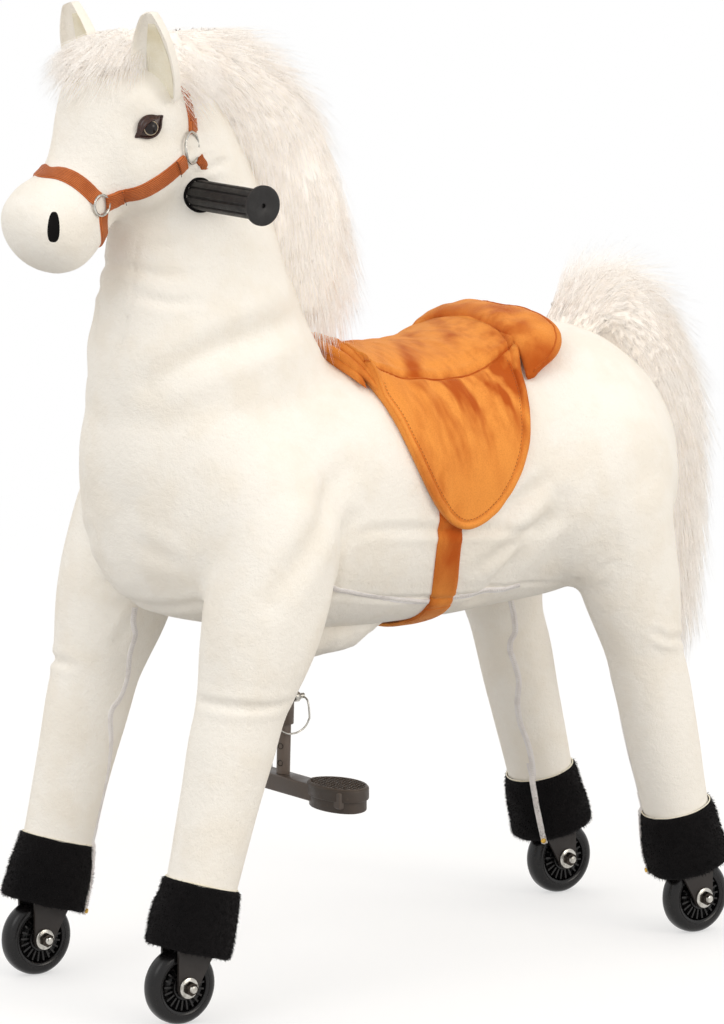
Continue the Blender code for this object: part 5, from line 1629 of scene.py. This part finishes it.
def bell(values, width):
    return np.exp(-((values / width) ** 2))


def panelGrid(edge):
    # The barrel under the panel: points, their way out and how far round each lies from the top
    shares = 1 - (1 - np.linspace(0, 1, 96)) ** 1.5
    shares = np.concatenate([-shares[:0:-1], shares])
    bare = np.zeros((len(edge), len(shares), 3))
    way = np.zeros_like(bare)
    for i, (y, z) in enumerate(edge):
        angles = math.pi / 2 - shares * (math.pi / 2 - angleAt(y, z))
        bare[i] = formPoints(torsoForm, [y], angles)[0]
        way[i] = formPoints(torsoForm, [y], angles, 0.001)[0] - bare[i]
    way /= np.linalg.norm(way, axis=2)[..., None]
    steps = np.linalg.norm(np.diff(bare, axis=1), axis=2)
    run = np.concatenate([np.zeros((len(edge), 1)), np.cumsum(steps, axis=1)], axis=1)
    return bare, way, run - run[:, len(shares) // 2][:, None]


def edgeDistance(edge, y, run):
    # How far each point lies from the panel's edge, on the panel laid flat
    border = [np.stack([edge[:, 0], run[:, k]], 1) for k in (-1, 0)]
    for k in (0, -1):
        line = np.linspace(run[k, 0], run[k, -1], 60)
        border.append(np.stack([np.full(60, edge[k, 0]), line], 1))
    flat = np.stack([y, run], 2)
    apart = np.full(y.shape, 9.0)
    for spot in np.concatenate(border):
        apart = np.minimum(apart, np.linalg.norm(flat - spot, axis=2))
    return apart


def panelHeights(y, run, apart):
    # The padding's height over the barrel, the painted nap shade and the seam's place
    seat = np.interp(y, *zip(*metres(saddle["seat"])))
    seam = 0.077 + 0.017 * np.sin(math.pi * np.clip((y + 0.068) / 0.207, 0, 1))
    corner = np.clip((np.abs(y - 0.036) - 0.050) / 0.045, 0, 1)
    over = np.clip((seam + 0.006 + 0.034 * corner - np.abs(run)) / 0.034, 0, 1)
    over = over * over * (3 - 2 * over)
    height = saddle["flap"] + (seat - saddle["flap"]) * over
    height -= 0.0026 * bell(np.abs(run) - seam, 0.0030)
    height += 0.0016 * bell(np.abs(run) - seam + 0.007, 0.005)
    brushed = np.zeros(y.shape)
    # Creases fan down the flap from the seam, and slant across the seat
    for i, j in np.ndindex(*y.shape):
        a, b = y[i, j], run[i, j]
        down = abs(b) - seam[i, j]
        fan = noise.noise(Vector((a * 46 + down * 14, b * 5, 3.1 if b > 0 else 7.7)))
        small = noise.noise(Vector((a * 95, b * 34, 1.7)))
        near = math.exp(-down / 0.055) if down > 0 else 0.5
        height[i, j] += 0.0034 * fan * near * min(apart[i, j] / 0.02, 1) + 0.0009 * small
        rough = noise.noise(Vector((a * 210, b * 60, 9.4)))
        if down > 0:
            # Below the seam the flap gets streaks of painted shade, darkest near the seam
            streak = noise.noise(Vector((a * 70 - down * 16, b * 7, 5.2)))
            share = bell(down, 0.075) * min(max((a + 0.045) / 0.07, 0), 1) * min(down / 0.004, 1)
            brushed[i, j] = share * (0.42 + 2.2 * streak + 0.8 * rough)
        else:
            # On the seat, slanting strokes of painted nap shade
            slant = noise.noise(Vector((a * 52 + b * 26, b * 8, 2.6)))
            brushed[i, j] = max(0, 1.3 * slant - 0.22) + 0.30 * rough
        # Painted shade along the seam's groove
        brushed[i, j] += 0.5 * bell(down, 0.0022)
    roll = saddle["rollWidth"]
    onRoll = np.clip(1 - ((apart - roll / 2) / (roll / 2)) ** 2, 0, 1) ** 0.5
    rise = saddle["rollRise"] * onRoll - 0.0014 * (1 - apart / roll) ** 3
    height += np.where(apart < roll, rise, 0)
    height -= saddle["groove"] * bell(apart - roll - 0.0006, 0.0010)
    height = np.where(apart < 1e-5, 0.0042 + (height - 0.0042) * 0.35, height)
    return height, np.clip(brushed, 0, 1), seam


def makePanel():
    edge = smoothPath([(0, y, z) for y, z in metres(saddle["edge"])], 150)[:, 1:]
    bare, way, run = panelGrid(edge)
    rows, columns = run.shape
    apart = edgeDistance(edge, bare[..., 1], run)
    height, brushed, seam = panelHeights(bare[..., 1], run, apart)
    top = bare + way * height[..., None]
    verts = np.concatenate([top.reshape(-1, 3), (bare + way * 0.0012).reshape(-1, 3)])
    faces, size = gridFaces(rows, columns), rows * columns
    faces += [tuple(size + k for k in face[::-1]) for face in faces]
    index = np.arange(size).reshape(rows, columns)
    ring = [*index[0], *index[1:, -1], *index[-1, -2::-1], *index[-2:0:-1, 0]]
    faces += [(a, b, size + b, size + a) for a, b in zip(ring, ring[1:] + ring[:1])]
    panel = meshOf("saddlePanel", verts, faces, velvet)
    near, brushed = nearest(top.reshape(-1, 3)), brushed.ravel()
    paintNapShade(panel, [brushed[near.find(v.co)[1]] for v in panel.data.vertices])
    seams = []
    for side in (-1, 1):
        path = []
        for i in range(6, rows - 5):
            at = side * seam[i, 0]
            path.append(Vector([np.interp(at, run[i], top[i, :, k]) for k in range(3)]))
        seams.append(tube("saddleSeam", path, 0.0009, velvet, 8))
    makeWelt(merged("saddleSeams", seams))
    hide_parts("saddle_seat", "saddle_flap_left", "saddle_flap_right")
    return panel, edge


def makeWelt(seam):
    # The welts get a dark nap: painted shade along the seams
    paintNapShadeEvenly(seam, 0.85, 0.1)
    declare([seam], "torso", "velvet_orange")


def makePommel():
    # Two soft rolls side by side, which taper into the panel's front corners
    pieces = []
    for k, (at, lift, size) in enumerate(saddle["pommel"]):
        path, radii = [], []
        for t in np.linspace(-1, 1, 90):
            angle = math.pi / 2 - math.radians(saddle["pommelHalf"]) * t
            back = 0.027 * abs(t) ** 2.6 if k else 0.017 * abs(t) ** 3
            path.append(torsoPoint(at + back, angle, lift * (1 - 0.74 * abs(t) ** 3)))
            swell = 1 + 0.10 * noise.noise(Vector((t * 7, k * 3.0, 0)))
            radii.append(size * swell * max(1 - abs(t) ** 3, 0.01) ** 0.8)
        pieces.append(tube(f"pommelRoll{k}", path, radii, velvet, 22, hint=yAxis))
    # The gusset that fills the space under and between the rolls
    turns = np.linspace(-math.radians(38), math.radians(38), 80)
    path = [torsoPoint(-0.0725, math.pi / 2 - t, 0.0060) for t in turns]
    radii = [0.0088 * max(1 - abs(t) ** 2.5, 0.01) ** 0.8 for t in np.linspace(-1, 1, 80)]
    pieces.append(tube("pommelGusset", path, radii, velvet, 20, hint=yAxis))
    return merged("saddlePommel", pieces)


def stuffed(pad, seams, cell, limit):
    # Sewn cloth blown up by its stuffing: the seams hold, and the fabric between them swells
    finishOff(pad, ("REMESH", {"mode": "VOXEL", "voxel_size": cell}))
    held, tree = pad.vertex_groups.new(name="held"), nearest(seams)
    close = [v.index for v in pad.data.vertices if tree.find(v.co)[2] < cell * 1.2]
    held.add(close, 1.0, "REPLACE")
    rest = pointsOf(pad)
    settings = pad.modifiers.new("sewn", "CLOTH").settings
    settings.use_pressure = True
    settings.uniform_pressure_force = 2.0
    settings.vertex_group_mass = "held"
    settings.effector_weights.gravity = 0.0
    for frame in range(1, 21):
        bpy.context.scene.frame_set(frame)
    finishOff(pad)
    bpy.context.scene.frame_set(1)
    move = pointsOf(pad) - rest
    far = np.linalg.norm(move, axis=1)[:, None]
    move *= np.minimum(1, limit / np.maximum(far, 1e-9))
    pad.data.vertices.foreach_set("co", (rest + move).ravel())
    pad.vertex_groups.clear()
    most, kept = 1000 * far.max(), 1000 * limit
    print(f"{pad.name}: cloth moved by up to {most:.1f} mm, kept within {kept:.1f} mm")
    finishOff(pad, ("SUBSURF", {"levels": 1, "render_levels": 1}))


def makeCantle():
    columns, count = 120, 110
    lines = []
    for key in ("cantleInner", "cantleOuter"):
        half = metres(saddle[key])
        line = smoothPath(mirrorX(half[:0:-1]) + half, columns)
        lines.append([Vector(spot) for spot in line])
    inner, outer = lines
    verts, seams, upper = [], [], []
    for i in range(columns):
        t = 2 * i / (columns - 1) - 1
        a, b = inner[i], outer[i]
        middle, reach = (a + b) / 2, (b - a).length / 2
        low, high = max(i - 1, 0), min(i + 1, columns - 1)
        ahead = outer[high] - outer[low] + inner[high] - inner[low]
        out = (b - a).normalized()
        up = ahead.cross(out).normalized()
        up = up if up.z > 0 else -up
        thick = saddle["cantleThick"] * (1 - 0.72 * abs(t) ** 5)
        for j in range(count):
            c, s = math.cos(fullTurn * j / count), math.sin(fullTurn * j / count)
            along = math.copysign(abs(c) ** 0.8, c) * reach
            rise = math.copysign(abs(s) ** 0.8, s) * thick
            fromSeam = reach - along - saddle["cantleSeam"]
            seam = 0.0026 * math.exp(-((fromSeam / 0.0015) ** 2)) * (1 if s > 0 else 0.5)
            wave = 0.0016 * noise.noise(Vector((t * 9, along * 60, s)))
            spot = middle + out * along + up * (rise - 0.003)
            verts.append(spot - up * seam * (1 if s > 0 else -1) + up * wave * s)
            if abs(fromSeam) < 0.0010:
                seams.append(verts[-1])
                if s > 0 and len(upper) <= i and abs(t) < 0.96:
                    upper.append(verts[-1])
    cantle = meshOf("saddleCantle", verts, cappedFaces(columns, count), velvet)
    stuffed(cantle, seams, 0.0025, 0.0026)
    tree = treeOf(cantle.data)
    path = [tree.find_nearest(spot)[0] for spot in smoothPath(upper, 160)]
    makeWelt(tube("cantleSeam", path, 0.0009, velvet, 8))
    return cantle


def makeGirth():
    half, width = metres(saddle["girth"]), saddle["girthWidth"]
    path = half + mirrorX(half[-2::-1])
    run = smoothPath(path, 150)
    sag = 0.0008 + 0.0060 * bell(np.linspace(-1, 1, 150), 0.16)
    girth = surfaceBand("girthStrap", path, width, 0.0030, velvet, sag, 150, 11)
    # A lining strip shows as a second layer where the strap turns under the belly
    lining = surfaceBand("girthLining", run[58:92], width * 0.9, 0.0022, velvet, -0.0002, 40, 7)
    shadedBand = surfaceBand("girthHem", run[44:60], width * 0.97, 0.0016, velvet, 0.0028, 16, 9)
    return girth, lining, shadedBand


def makeSaddle():
    panel, edge = makePanel()
    pommel, cantle = makePommel(), makeCantle()
    girth, lining, shadedBand = makeGirth()
    # Even levels of painted nap shade on the pommel, the cantle and the girth
    paintNapShadeEvenly(pommel, 0.22, 0.5)
    paintNapShadeEvenly(cantle, 0.50, 0.7)
    for piece in (girth, lining, shadedBand):
        paintNapShadeEvenly(piece, 0.50, 0.6)
    declare([panel], "torso", "velvet_orange", fill=0.7)
    declare([pommel], "torso", "velvet_orange", "saddle_pommel", fill=0.7)
    declare([cantle], "torso", "velvet_orange", "saddle_cantle", fill=0.7)
    declare([girth], "torso", "velvet_orange", "girth_strap")
    declare([lining, shadedBand], "torso", "velvet_orange")
    # Stitches inside the rolled edge of both flaps
    tree = treeOf(panel.data)
    lace = unitOf("stitch", (0.0014, 0.0003, 0.0003))
    inset = 0.0100
    for sideName, side in sides.items():
        points, ups = [], []
        for i in range(6, len(edge) - 6):
            ahead = Vector((0, *(edge[i + 3] - edge[i - 3]))).normalized()
            y, z = edge[i] + np.array((-ahead.z, ahead.y)) * inset
            spot = torsoPoint(y, angleAt(y, z), 0.008)
            place, normal, _, _ = tree.find_nearest(Vector((side * spot.x, spot.y, spot.z)))
            points.append(place + normal * 0.0001)
            ups.append(normal)
        stitches = unitRow("saddleStitches" + sideName, points, ups, lace, thread, 0.0040)
        stitches.data.shade_smooth()
        declare([stitches], "torso", "velvet_orange")
    discard(lace)


makeSaddle()
print("saddle made")


# Zips: tape and teeth down the inner side of each leg and along the belly

# Paths in millimetres, on the left side
zips = {
    "frontLeg": [
        (81, -241, 391), (83, -242, 378), (83, -240, 360), (84, -244, 337), (87, -243, 313),
        (89, -250, 295), (90, -262, 282), (91, -264, 269), (94, -261, 245), (101, -262, 209),
        (108, -272, 170), (112, -282, 135),
    ],
    "rearLeg": [
        (79.5, 250, 352), (81, 254, 340), (82, 259, 324), (84, 262, 308), (88, 259, 297),
        (90, 260, 286), (89, 266, 269), (89, 271, 251), (94, 273, 225), (96, 279, 202),
        (94, 287, 180), (95, 294, 158), (99, 300, 134),
    ],
    "belly": [
        (137, -158, 432), (129, -126, 426), (119, -81, 414), (109, -35, 403), (104, 6, 396),
        (105, 42, 397), (104, 66, 398), (102, 90, 399), (104, 125, 400),
    ],
    "width": 0.0064,
    "thickness": 0.0008,
    "pitch": 0.0021,
}


def makeZip(name, path, tooth):
    thick = zips["thickness"]
    tape = surfaceBand(name + "Tape", path, zips["width"], thick, zipTape, 0.0002, 110, 7)
    spots, ups = zip(*[onSkin(p, thick + 0.0005) for p in smoothPath(path, 120)])
    teeth = unitRow(name + "Teeth", spots, ups, tooth, zipTooth, zips["pitch"])
    teeth.data.shade_smooth()
    declare([tape, teeth], None, "plush_white")
    return tape, teeth


def makeCuffZip(pair, sideName, tooth):
    # The zip goes on down over the cuff, in a slit of its own, to its brass stop
    origin, axis, _ = legAxes(pair, sides[sideName])
    away = Vector(mirrorX(metres(zips[pair + "Leg"][-1:]), sides[sideName])[0]) - origin
    spoke = (away - axis * away.dot(axis)).normalized()
    tangent = axis.cross(spoke).normalized()
    high, low, width = cuff["high"], cuff["low"], zips["width"]
    top, foot = cuff["topRadius"][pair], cuff["lowRadius"][pair]
    verts, uvs, middle = [], [], []
    for place in np.linspace(high + 0.022, low - 0.002, 24):
        share = min(max((high - place) / (high - low), 0), 1)
        radius = top + (foot - top) * share + 0.0012 + 0.0024 * math.sin(math.pi * share)
        if place > high + 0.004:
            flat, _ = onSkin(origin + axis * place + spoke * radius, 0.0009)
            radius = (flat - origin - axis * place).dot(spoke)
        centre = origin + axis * place + spoke * radius
        middle.append(centre + spoke * 0.0008)
        for u in (-0.5, -0.25, 0, 0.25, 0.5):
            verts.append(centre + tangent * (u * width) + spoke * (0.0006 * (1 - 4 * u * u)))
            uvs.append((u * width, place))
        for u in (0.5, -0.5):
            verts.append(centre + tangent * (u * width) - spoke * 0.0030)
            uvs.append((u * width, place))
    name = f"{pair}{sideName}"
    tape = meshOf(name + "CuffZipTape", verts, cappedFaces(24, 7), zipTape, uvs, sharp=50)
    ups = [spoke] * len(middle)
    teeth = unitRow(name + "CuffZipTeeth", middle, ups, tooth, zipTooth, zips["pitch"])
    profile = [(-0.0022, 0.0016), (-0.0016, 0.0027), (0.0016, 0.0027), (0.0022, 0.0016)]
    stop = turned(name + "ZipStop", profile, middle[-2], spoke, brass, 16)
    declare([tape, teeth], pair + "_legs", "plush_white")
    declare([stop], pair + "_legs", "zinc_steel")


tooth = unitOf("zipTooth", (0.0006, 0.0015, 0.0007), v=4)
for sideName, side in sides.items():
    for pair in legs:
        path = mirrorX(metres(zips[pair + "Leg"]), side)
        for piece in makeZip(f"{pair}{sideName}Zip", path, tooth):
            bendWithLeg(piece)
        makeCuffZip(pair, sideName, tooth)
    for piece in makeZip(f"belly{sideName}Zip", mirrorX(metres(zips["belly"]), side), tooth):
        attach(piece, "torso")
discard(tooth)

bagForm = formOf((0, 1, 0), (0, 0, 1), [
    (-130, 372, 10, 4, 10, 2), (-121, 372, 12, 26, 38, 2.1), (-102, 372, 14, 39, 54, 2.2),
    (-70, 372, 14, 38, 58, 2.3), (-40, 372, 14, 30, 56, 2.3), (-12, 374, 12, 20, 47, 2.2),
    (12, 376, 8, 10, 24, 2),
])


def makeBag():
    # The bag under the belly that the stirrup comes out of hangs in soft folds
    bm = bmesh.new()
    addForm(bm, bagForm, 44, 72)
    bmesh.ops.recalc_face_normals(bm, faces=bm.faces)
    bm.normal_update()
    for vert in bm.verts:
        at = vert.co
        fold = noise.noise(Vector((at.x * 16, at.y * 46, at.z * 20)))
        vert.co += vert.normal * (0.0036 * fold + 0.0012 * noise.noise(at * 90))
    bag = meshFrom("bellyBag", bm, plushWhite)
    declare([bag], None, "plush_white", "belly_boot", fill=0.3)
    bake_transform(bag)
    # A drawn-in mouth round the sleeve
    path = loopPath((0, -0.1030, 0.3345), (0, 0.06, 1), 0.0150, 36, 1.0, xAxis)
    path = [p + zAxis * (0.0012 * noise.noise(p * 120)) for p in path]
    mouth = tube("bellyBagMouth", path, 0.0034, plushWhite, 12, closed=True)
    declare([mouth], "front_legs", "plush_white")


makeBag()
print("zips and belly bag made")


# Hardware: wheels, bolts, grips, stirrup and pedals

wheel = {
    # place across the wheel and radius of its turned outline in millimetres, on one side
    "outline": [
        (10.5, 4.4), (10.8, 12), (10.4, 13.6), (4.5, 14.2), (4, 14.8), (4, 24.2), (4.6, 25),
        (8.6, 25.8), (10, 26.6), (11.2, 29), (11.4, 31.5), (10.8, 34.5), (9, 37.3), (6, 39.2),
        (3, 39.9), (0, 40),
    ],
    "ribs": 22,
    "ribSize": (0.0019, 0.0104, 0.0052),
    "ribFace": 0.0064,
    "ribRadius": 0.0194,
}
bolt = {
    "face": 0.0168, "washer": 0.0110, "washerThick": 0.0015, "nutAcross": 0.0130,
    "nutHeight": 0.0062, "end": 0.0028,
}
grip = {
    "root": 0.056, "length": 0.112, "radius": 0.0155, "groove": 0.0017, "lands": 10,
    "disc": 0.0205, "discThick": 0.0034, "y": -0.250, "z": 0.836,
}


def makeWheel(pair, sideName, rib):
    node = f"{pair}_{sideName.lower()}_wheel"
    low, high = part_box(node)
    centre = (low + high) / 2
    half = metres(wheel["outline"])
    outline = [(-place, radius) for place, radius in half] + half[-2::-1]
    name = f"{pair}{sideName}Wheel"
    pieces = [turned(name, outline, centre, xAxis, urethane, 72, sharp=40, ring=True)]
    # Radial ribs stand in the hub's well on both faces
    step = fullTurn * wheel["ribRadius"] / wheel["ribs"] * 1.0002
    for sign in (1, -1):
        start = centre + xAxis * (sign * wheel["ribFace"])
        points = loopPath(start, xAxis, wheel["ribRadius"], wheel["ribs"] * 4)
        ups = [xAxis * sign] * (len(points) + 1)
        pieces.append(unitRow("ribs", points + points[:1], ups, rib, urethane, step))
    # A raised ring round the axle, and a moulding line round the tyre's side
    for sign in (1, -1):
        path = loopPath(centre + xAxis * (sign * 0.0114), xAxis, 0.0300, 60)
        pieces.append(tube("tyreLine", path, 0.0004, urethane, 6, closed=True))
    declare([merged(name, pieces)], node, "wheel_urethane", node)
    return centre


def makeBolt(pair, sideName, centre):
    face, wide = bolt["face"], bolt["washer"]
    out = face + bolt["washerThick"]
    end = out + bolt["nutHeight"]
    tip = end + bolt["end"]
    rod = [(-tip, 0.0034), (0.0006 - tip, 0.0040), (tip - 0.0006, 0.0040), (tip, 0.0034)]
    washer = [
        (face, 0.0042), (face, wide - 0.0004), (face + 0.0004, wide), (out - 0.0004, wide),
        (out, wide - 0.0004), (out, 0.0042),
    ]
    # A nut is a six-sided prism whose corners are turned off
    corner, flat = bolt["nutAcross"] / math.sqrt(3), bolt["nutAcross"] / 2
    nut = [(out, corner * 0.94), (out + 0.0008, corner), (end - 0.0012, corner), (end, flat * 0.97)]
    steel, dark = [turned("axleRod", rod, centre, xAxis, zinc, 32)], []
    for way in (xAxis, -xAxis):
        steel.append(turned("axleWasher", washer, centre, way, zinc, 48))
        verts = []
        for place, limit in nut:
            for j, spoke in enumerate(spokesOf(yAxis, zAxis, 48)):
                local = (fullTurn * j / 48 + math.pi / 6) % (math.pi / 3) - math.pi / 6
                verts.append(centre + way * place + spoke * min(flat / math.cos(local), limit))
        dark.append(meshOf("axleNut", verts, cappedFaces(4, 48), darkSteel, sharp=28))
    name = f"{pair}{sideName}Axle"
    made, nuts = merged(name + "Bolt", steel), merged(name + "Nuts", dark)
    sharpen(nuts, 28)
    holder = f"front_{sideName.lower()}_fork" if pair == "front" else "rear_legs"
    declare([made], holder, "zinc_steel", f"{pair}_{sideName.lower()}_axle_bolt")
    declare([nuts], holder, "zinc_steel")


def makeGrip(sideName):
    side = sides[sideName]
    root = Vector((side * grip["root"], grip["y"], grip["z"]))
    away = xAxis * side
    length, count, verts = grip["length"], 160, []
    places = [0, 0.0008] + list(np.linspace(0.006, length - 0.001, 24)) + [length]
    for place in places:
        shrink = 0.0012 if place == 0 else 0.0
        for j, spoke in enumerate(spokesOf(yAxis, zAxis, count)):
            local = abs((j / count * grip["lands"]) % 1 - 0.5) * 2
            dip = min(max((local - 0.70) / 0.14, 0), 1)
            radius = grip["radius"] - grip["groove"] * dip * dip * (3 - 2 * dip) - shrink
            grain = Vector((place * 300, fullTurn * j / count * 4, side))
            verts.append(root + away * place + spoke * (radius + 0.00012 * noise.noise(grain)))
    sleeve = meshOf("gripSleeve", verts, cappedFaces(len(places), count), gripRubber, sharp=40)
    wide, end = grip["disc"], length + grip["discThick"]
    outline = [
        (length - 0.0012, 0.002), (length - 0.0012, wide - 0.0010), (length - 0.0004, wide),
        (end - 0.0012, wide), (end - 0.0003, wide - 0.0009), (end, wide - 0.0022),
        (end - 0.0002, 0.0034), (end - 0.0008, 0.0024), (end - 0.0036, 0.0020),
    ]
    disc = turned("gripDisc", outline, root, away, gripRubber, 72, sharp=30)
    made = sharpen(merged("grip" + sideName, [sleeve, disc]), 40)
    declare([made], "neck", "grip_rubber", "grip_" + sideName.lower())
    # A ring of black plush where the grip comes out of the plush is painted shade of the gap there
    path = []
    for spoke in spokesOf(yAxis, zAxis, 60):
        spot = root + away * 0.02 + spoke * (grip["radius"] + 0.0009)
        hit = skinTree.ray_cast(spot + away * 0.10, -away)[0]
        wave = noise.noise(Vector((spoke.y, spoke.z, 0)) * 3)
        path.append((hit or spot) + away * (0.0006 + 0.0006 * wave))
    shadedBand = tube("gripHem" + sideName, path, 0.0015, plushBlack, 10, closed=True)
    declare([shadedBand], "neck", "plush_black")


rib = unitOf("wheelRib", wheel["ribSize"], "box", smooth=False)
for pair in legs:
    for sideName in sides:
        makeBolt(pair, sideName, makeWheel(pair, sideName, rib))
for sideName in sides:
    makeGrip(sideName)
discard(rib)
print("wheels, bolts and grips made")

stirrup = {
    "y": -0.107, "sleeve": 0.0099, "post": 0.0072,
    "sleeveEnds": (0.263, 0.408), "postEnds": (0.2101, 0.330), "pinHeight": 0.290,
    "spareHoles": (0.240, 0.222), "holeFaces": (0.42, -0.90, 0),
    "barHalf": 0.118, "barHeight": 0.018, "barDepth": 0.024, "barTop": 0.210,
    "pedalInner": 0.046, "pedalLength": 0.082, "pedalDepth": 0.053, "pedalTop": 0.2135,
    "pedalFront": 0.42, "pedalRear": 0.58, "treadHeight": 0.0145, "treadRibs": 9,
}


def stirrupPoint(z):
    # The sleeve and post lean back a little as they rise
    foot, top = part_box("stirrup_post")[0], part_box("stirrup_sleeve")[1]
    low, high = foot.y + stirrup["post"], top.y - stirrup["sleeve"]
    return Vector((0, low + (high - low) * (z - foot.z) / (top.z - foot.z), z))


def prism(name, outline, low, high, finish, width):
    bm = bmesh.new()
    face = bm.faces.new([bm.verts.new((x, y, low)) for x, y in outline])
    grown = bmesh.ops.extrude_face_region(bm, geom=[face])["geom"]
    up = [v for v in grown if isinstance(v, bmesh.types.BMVert)]
    bmesh.ops.translate(bm, verts=up, vec=(0, 0, high - low))
    bmesh.ops.recalc_face_normals(bm, faces=bm.faces)
    made = meshFrom(name, bm, finish)
    settings = {"width": width, "segments": 3, "limit_method": "ANGLE"}
    finishOff(made, ("BEVEL", {**settings, "angle_limit": math.radians(50)}))
    return sharpen(made)


def pedalReach(b):
    return stirrup["pedalDepth"] * stirrup["pedalRear" if b > 0 else "pedalFront"]


def ovalOutline(x, y, inset=0.0, share=1.0):
    points = []
    for spoke in spokesOf(xAxis, yAxis, 72):
        half, reach = stirrup["pedalLength"] / 2, pedalReach(spoke.y)
        a, b = (half * share - inset) * spoke.x, (reach * share - inset) * spoke.y
        points.append((x + a, y + b))
    return points


def makePost():
    way = (stirrupPoint(1) - stirrupPoint(0)).normalized()
    (low, high), (foot, head) = (
        [stirrupPoint(z) for z in stirrup[key]] for key in ("sleeveEnds", "postEnds")
    )
    r, p = stirrup["sleeve"], stirrup["post"]
    reach, tall = (high - low).length, (head - foot).length
    outline = [
        (0.0, r - 0.0022), (0.0, r - 0.0005), (0.0006, r), (reach - 0.0006, r),
        (reach, r - 0.0006), (reach, 0.002),
    ]
    sleeve = turned("stirrupSleeve", outline, low, way, powderCoat, 48)
    outline = [(0.0, p), (tall - 0.0006, p), (tall, p - 0.0006)]
    post = turned("stirrupPost", outline, foot, way, powderCoat, 40)
    # The spare holes of the height adjustment show as dark rimmed bores in the post
    holes, faces = [], Vector(stirrup["holeFaces"])
    for z in stirrup["spareHoles"]:
        path = loopPath(stirrupPoint(z) + faces.normalized() * (p - 0.0001), faces, 0.0029, 24)
        holes.append(tube("postHoleRim", path, 0.0005, darkSteel, 8, closed=True))
    rims = merged("stirrupPostHoles", holes)

    spot = stirrupPoint(stirrup["pinHeight"])
    outline = [
        (-0.024, 0.0014), (-0.0225, 0.0028), (-0.021, 0.0030), (r + 0.001, 0.0030),
        (r + 0.001, 0.0050), (r + 0.0022, 0.0056), (r + 0.0066, 0.0056), (r + 0.0080, 0.0046),
        (r + 0.0082, 0.0030), (0.024, 0.0030), (0.0245, 0.0022),
    ]
    pin = turned("lockPin", outline, spot, yAxis, zinc, 28)
    rear, front = spot + yAxis * (r + 0.0118), spot - yAxis * 0.0200
    bow = [rear, rear + Vector((0.009, 0.001, -0.004)), rear + Vector((0.0125, 0.001, -0.020))]
    middle, span = (rear + front) / 2 + Vector((0.013, 0, -0.020)), (rear - front).length / 2
    for k in range(1, 12):
        angle = math.pi * k / 12
        bow.append(middle + Vector((0, span * math.cos(angle), -0.016 * math.sin(angle))))
    bow += [front + Vector((0.0125, 0, -0.020)), front + Vector((0.009, 0, -0.004)), front]
    wire = tube("lockPinBow", smoothPath(bow, 90), 0.0010, zinc, 10)
    declare([sleeve], "front_legs", "painted_steel", "stirrup_sleeve")
    declare([post], "front_legs", "painted_steel", "stirrup_post")
    declare([merged("lockPin", [pin, wire])], "front_legs", "zinc_steel", "lock_pin")
    declare([rims], "front_legs", "zinc_steel")


def makeBar():
    wide, deep, y = stirrup["barHalf"], stirrup["barDepth"] / 2, stirrup["y"]
    top = stirrup["barTop"]
    outline = [(-wide, y - deep), (wide, y - deep), (wide, y + deep), (-wide, y + deep)]
    bar = prism("footBar", outline, top - stirrup["barHeight"], top, powderCoat, 0.0022)
    declare([bar], "front_legs", "painted_steel", "foot_bar")


def makePedal(sideName, side):
    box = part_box("pedal_" + sideName.lower())
    half, deep = stirrup["pedalLength"] / 2, stirrup["pedalDepth"]
    x, y = side * (stirrup["pedalInner"] + half), box[0].y + deep * stirrup["pedalFront"]
    high = stirrup["pedalTop"]
    low = high - stirrup["treadHeight"]
    outline, foot = ovalOutline(x, y), ovalOutline(x, y, 0.0, 0.93)
    parts = [
        prism("tread", outline, low, high - 0.0014, pedalPlastic, 0.0016),
        prism("base", foot, box[0].z, low + 0.001, pedalPlastic, 0.0014),
    ]
    # A raised border and ribs make the tread rough underfoot
    rim = [(*spot, high - 0.0014) for spot in ovalOutline(x, y, 0.0026)]
    parts.append(tube("treadRim", rim, 0.0013, pedalPlastic, 8, closed=True))
    rib = unitOf("treadRib", (0.0026, 0.0016, 0.0020), "box", smooth=False)
    for k in range(stirrup["treadRibs"]):
        share = (k + 0.5) / stirrup["treadRibs"] * 2 - 1
        b = deep * (stirrup["pedalFront"] * share + 0.06)
        long = (half - 0.005) * math.sqrt(max(1 - (b / (pedalReach(b) - 0.004)) ** 2, 0))
        ends = [(x + sign * long, y + b, high - 0.0012) for sign in (-1, 1)]
        parts.append(unitRow("treadRibs", ends, [zAxis] * 2, rib, pedalPlastic, 0.0040))
    discard(rib)
    node = "pedal_" + sideName.lower()
    declare([merged("pedal" + sideName, parts)], "front_legs", "pedal_plastic", node)


makePost()
makeBar()
for sideName, side in sides.items():
    makePedal(sideName, side)
for finish, names in (
    (powderCoat, ("main_frame", "front_leg_frame", "rear_leg_frame", "handlebar")),
    (zinc, ("shoulder_pin", "hip_pin")),
    (springSteel, ("return_spring",)),
    (plywood, ("seat_board",)),
    (forkPlastic, ("front_left_fork", "front_right_fork", "rear_left_fork", "rear_right_fork")),
):
    for name in names:
        materials = frame["nodes"][name].data.materials
        materials.clear()
        materials.append(finish)
print("stirrup and frame finished")


makeView()
makeStage()
fitSkin()
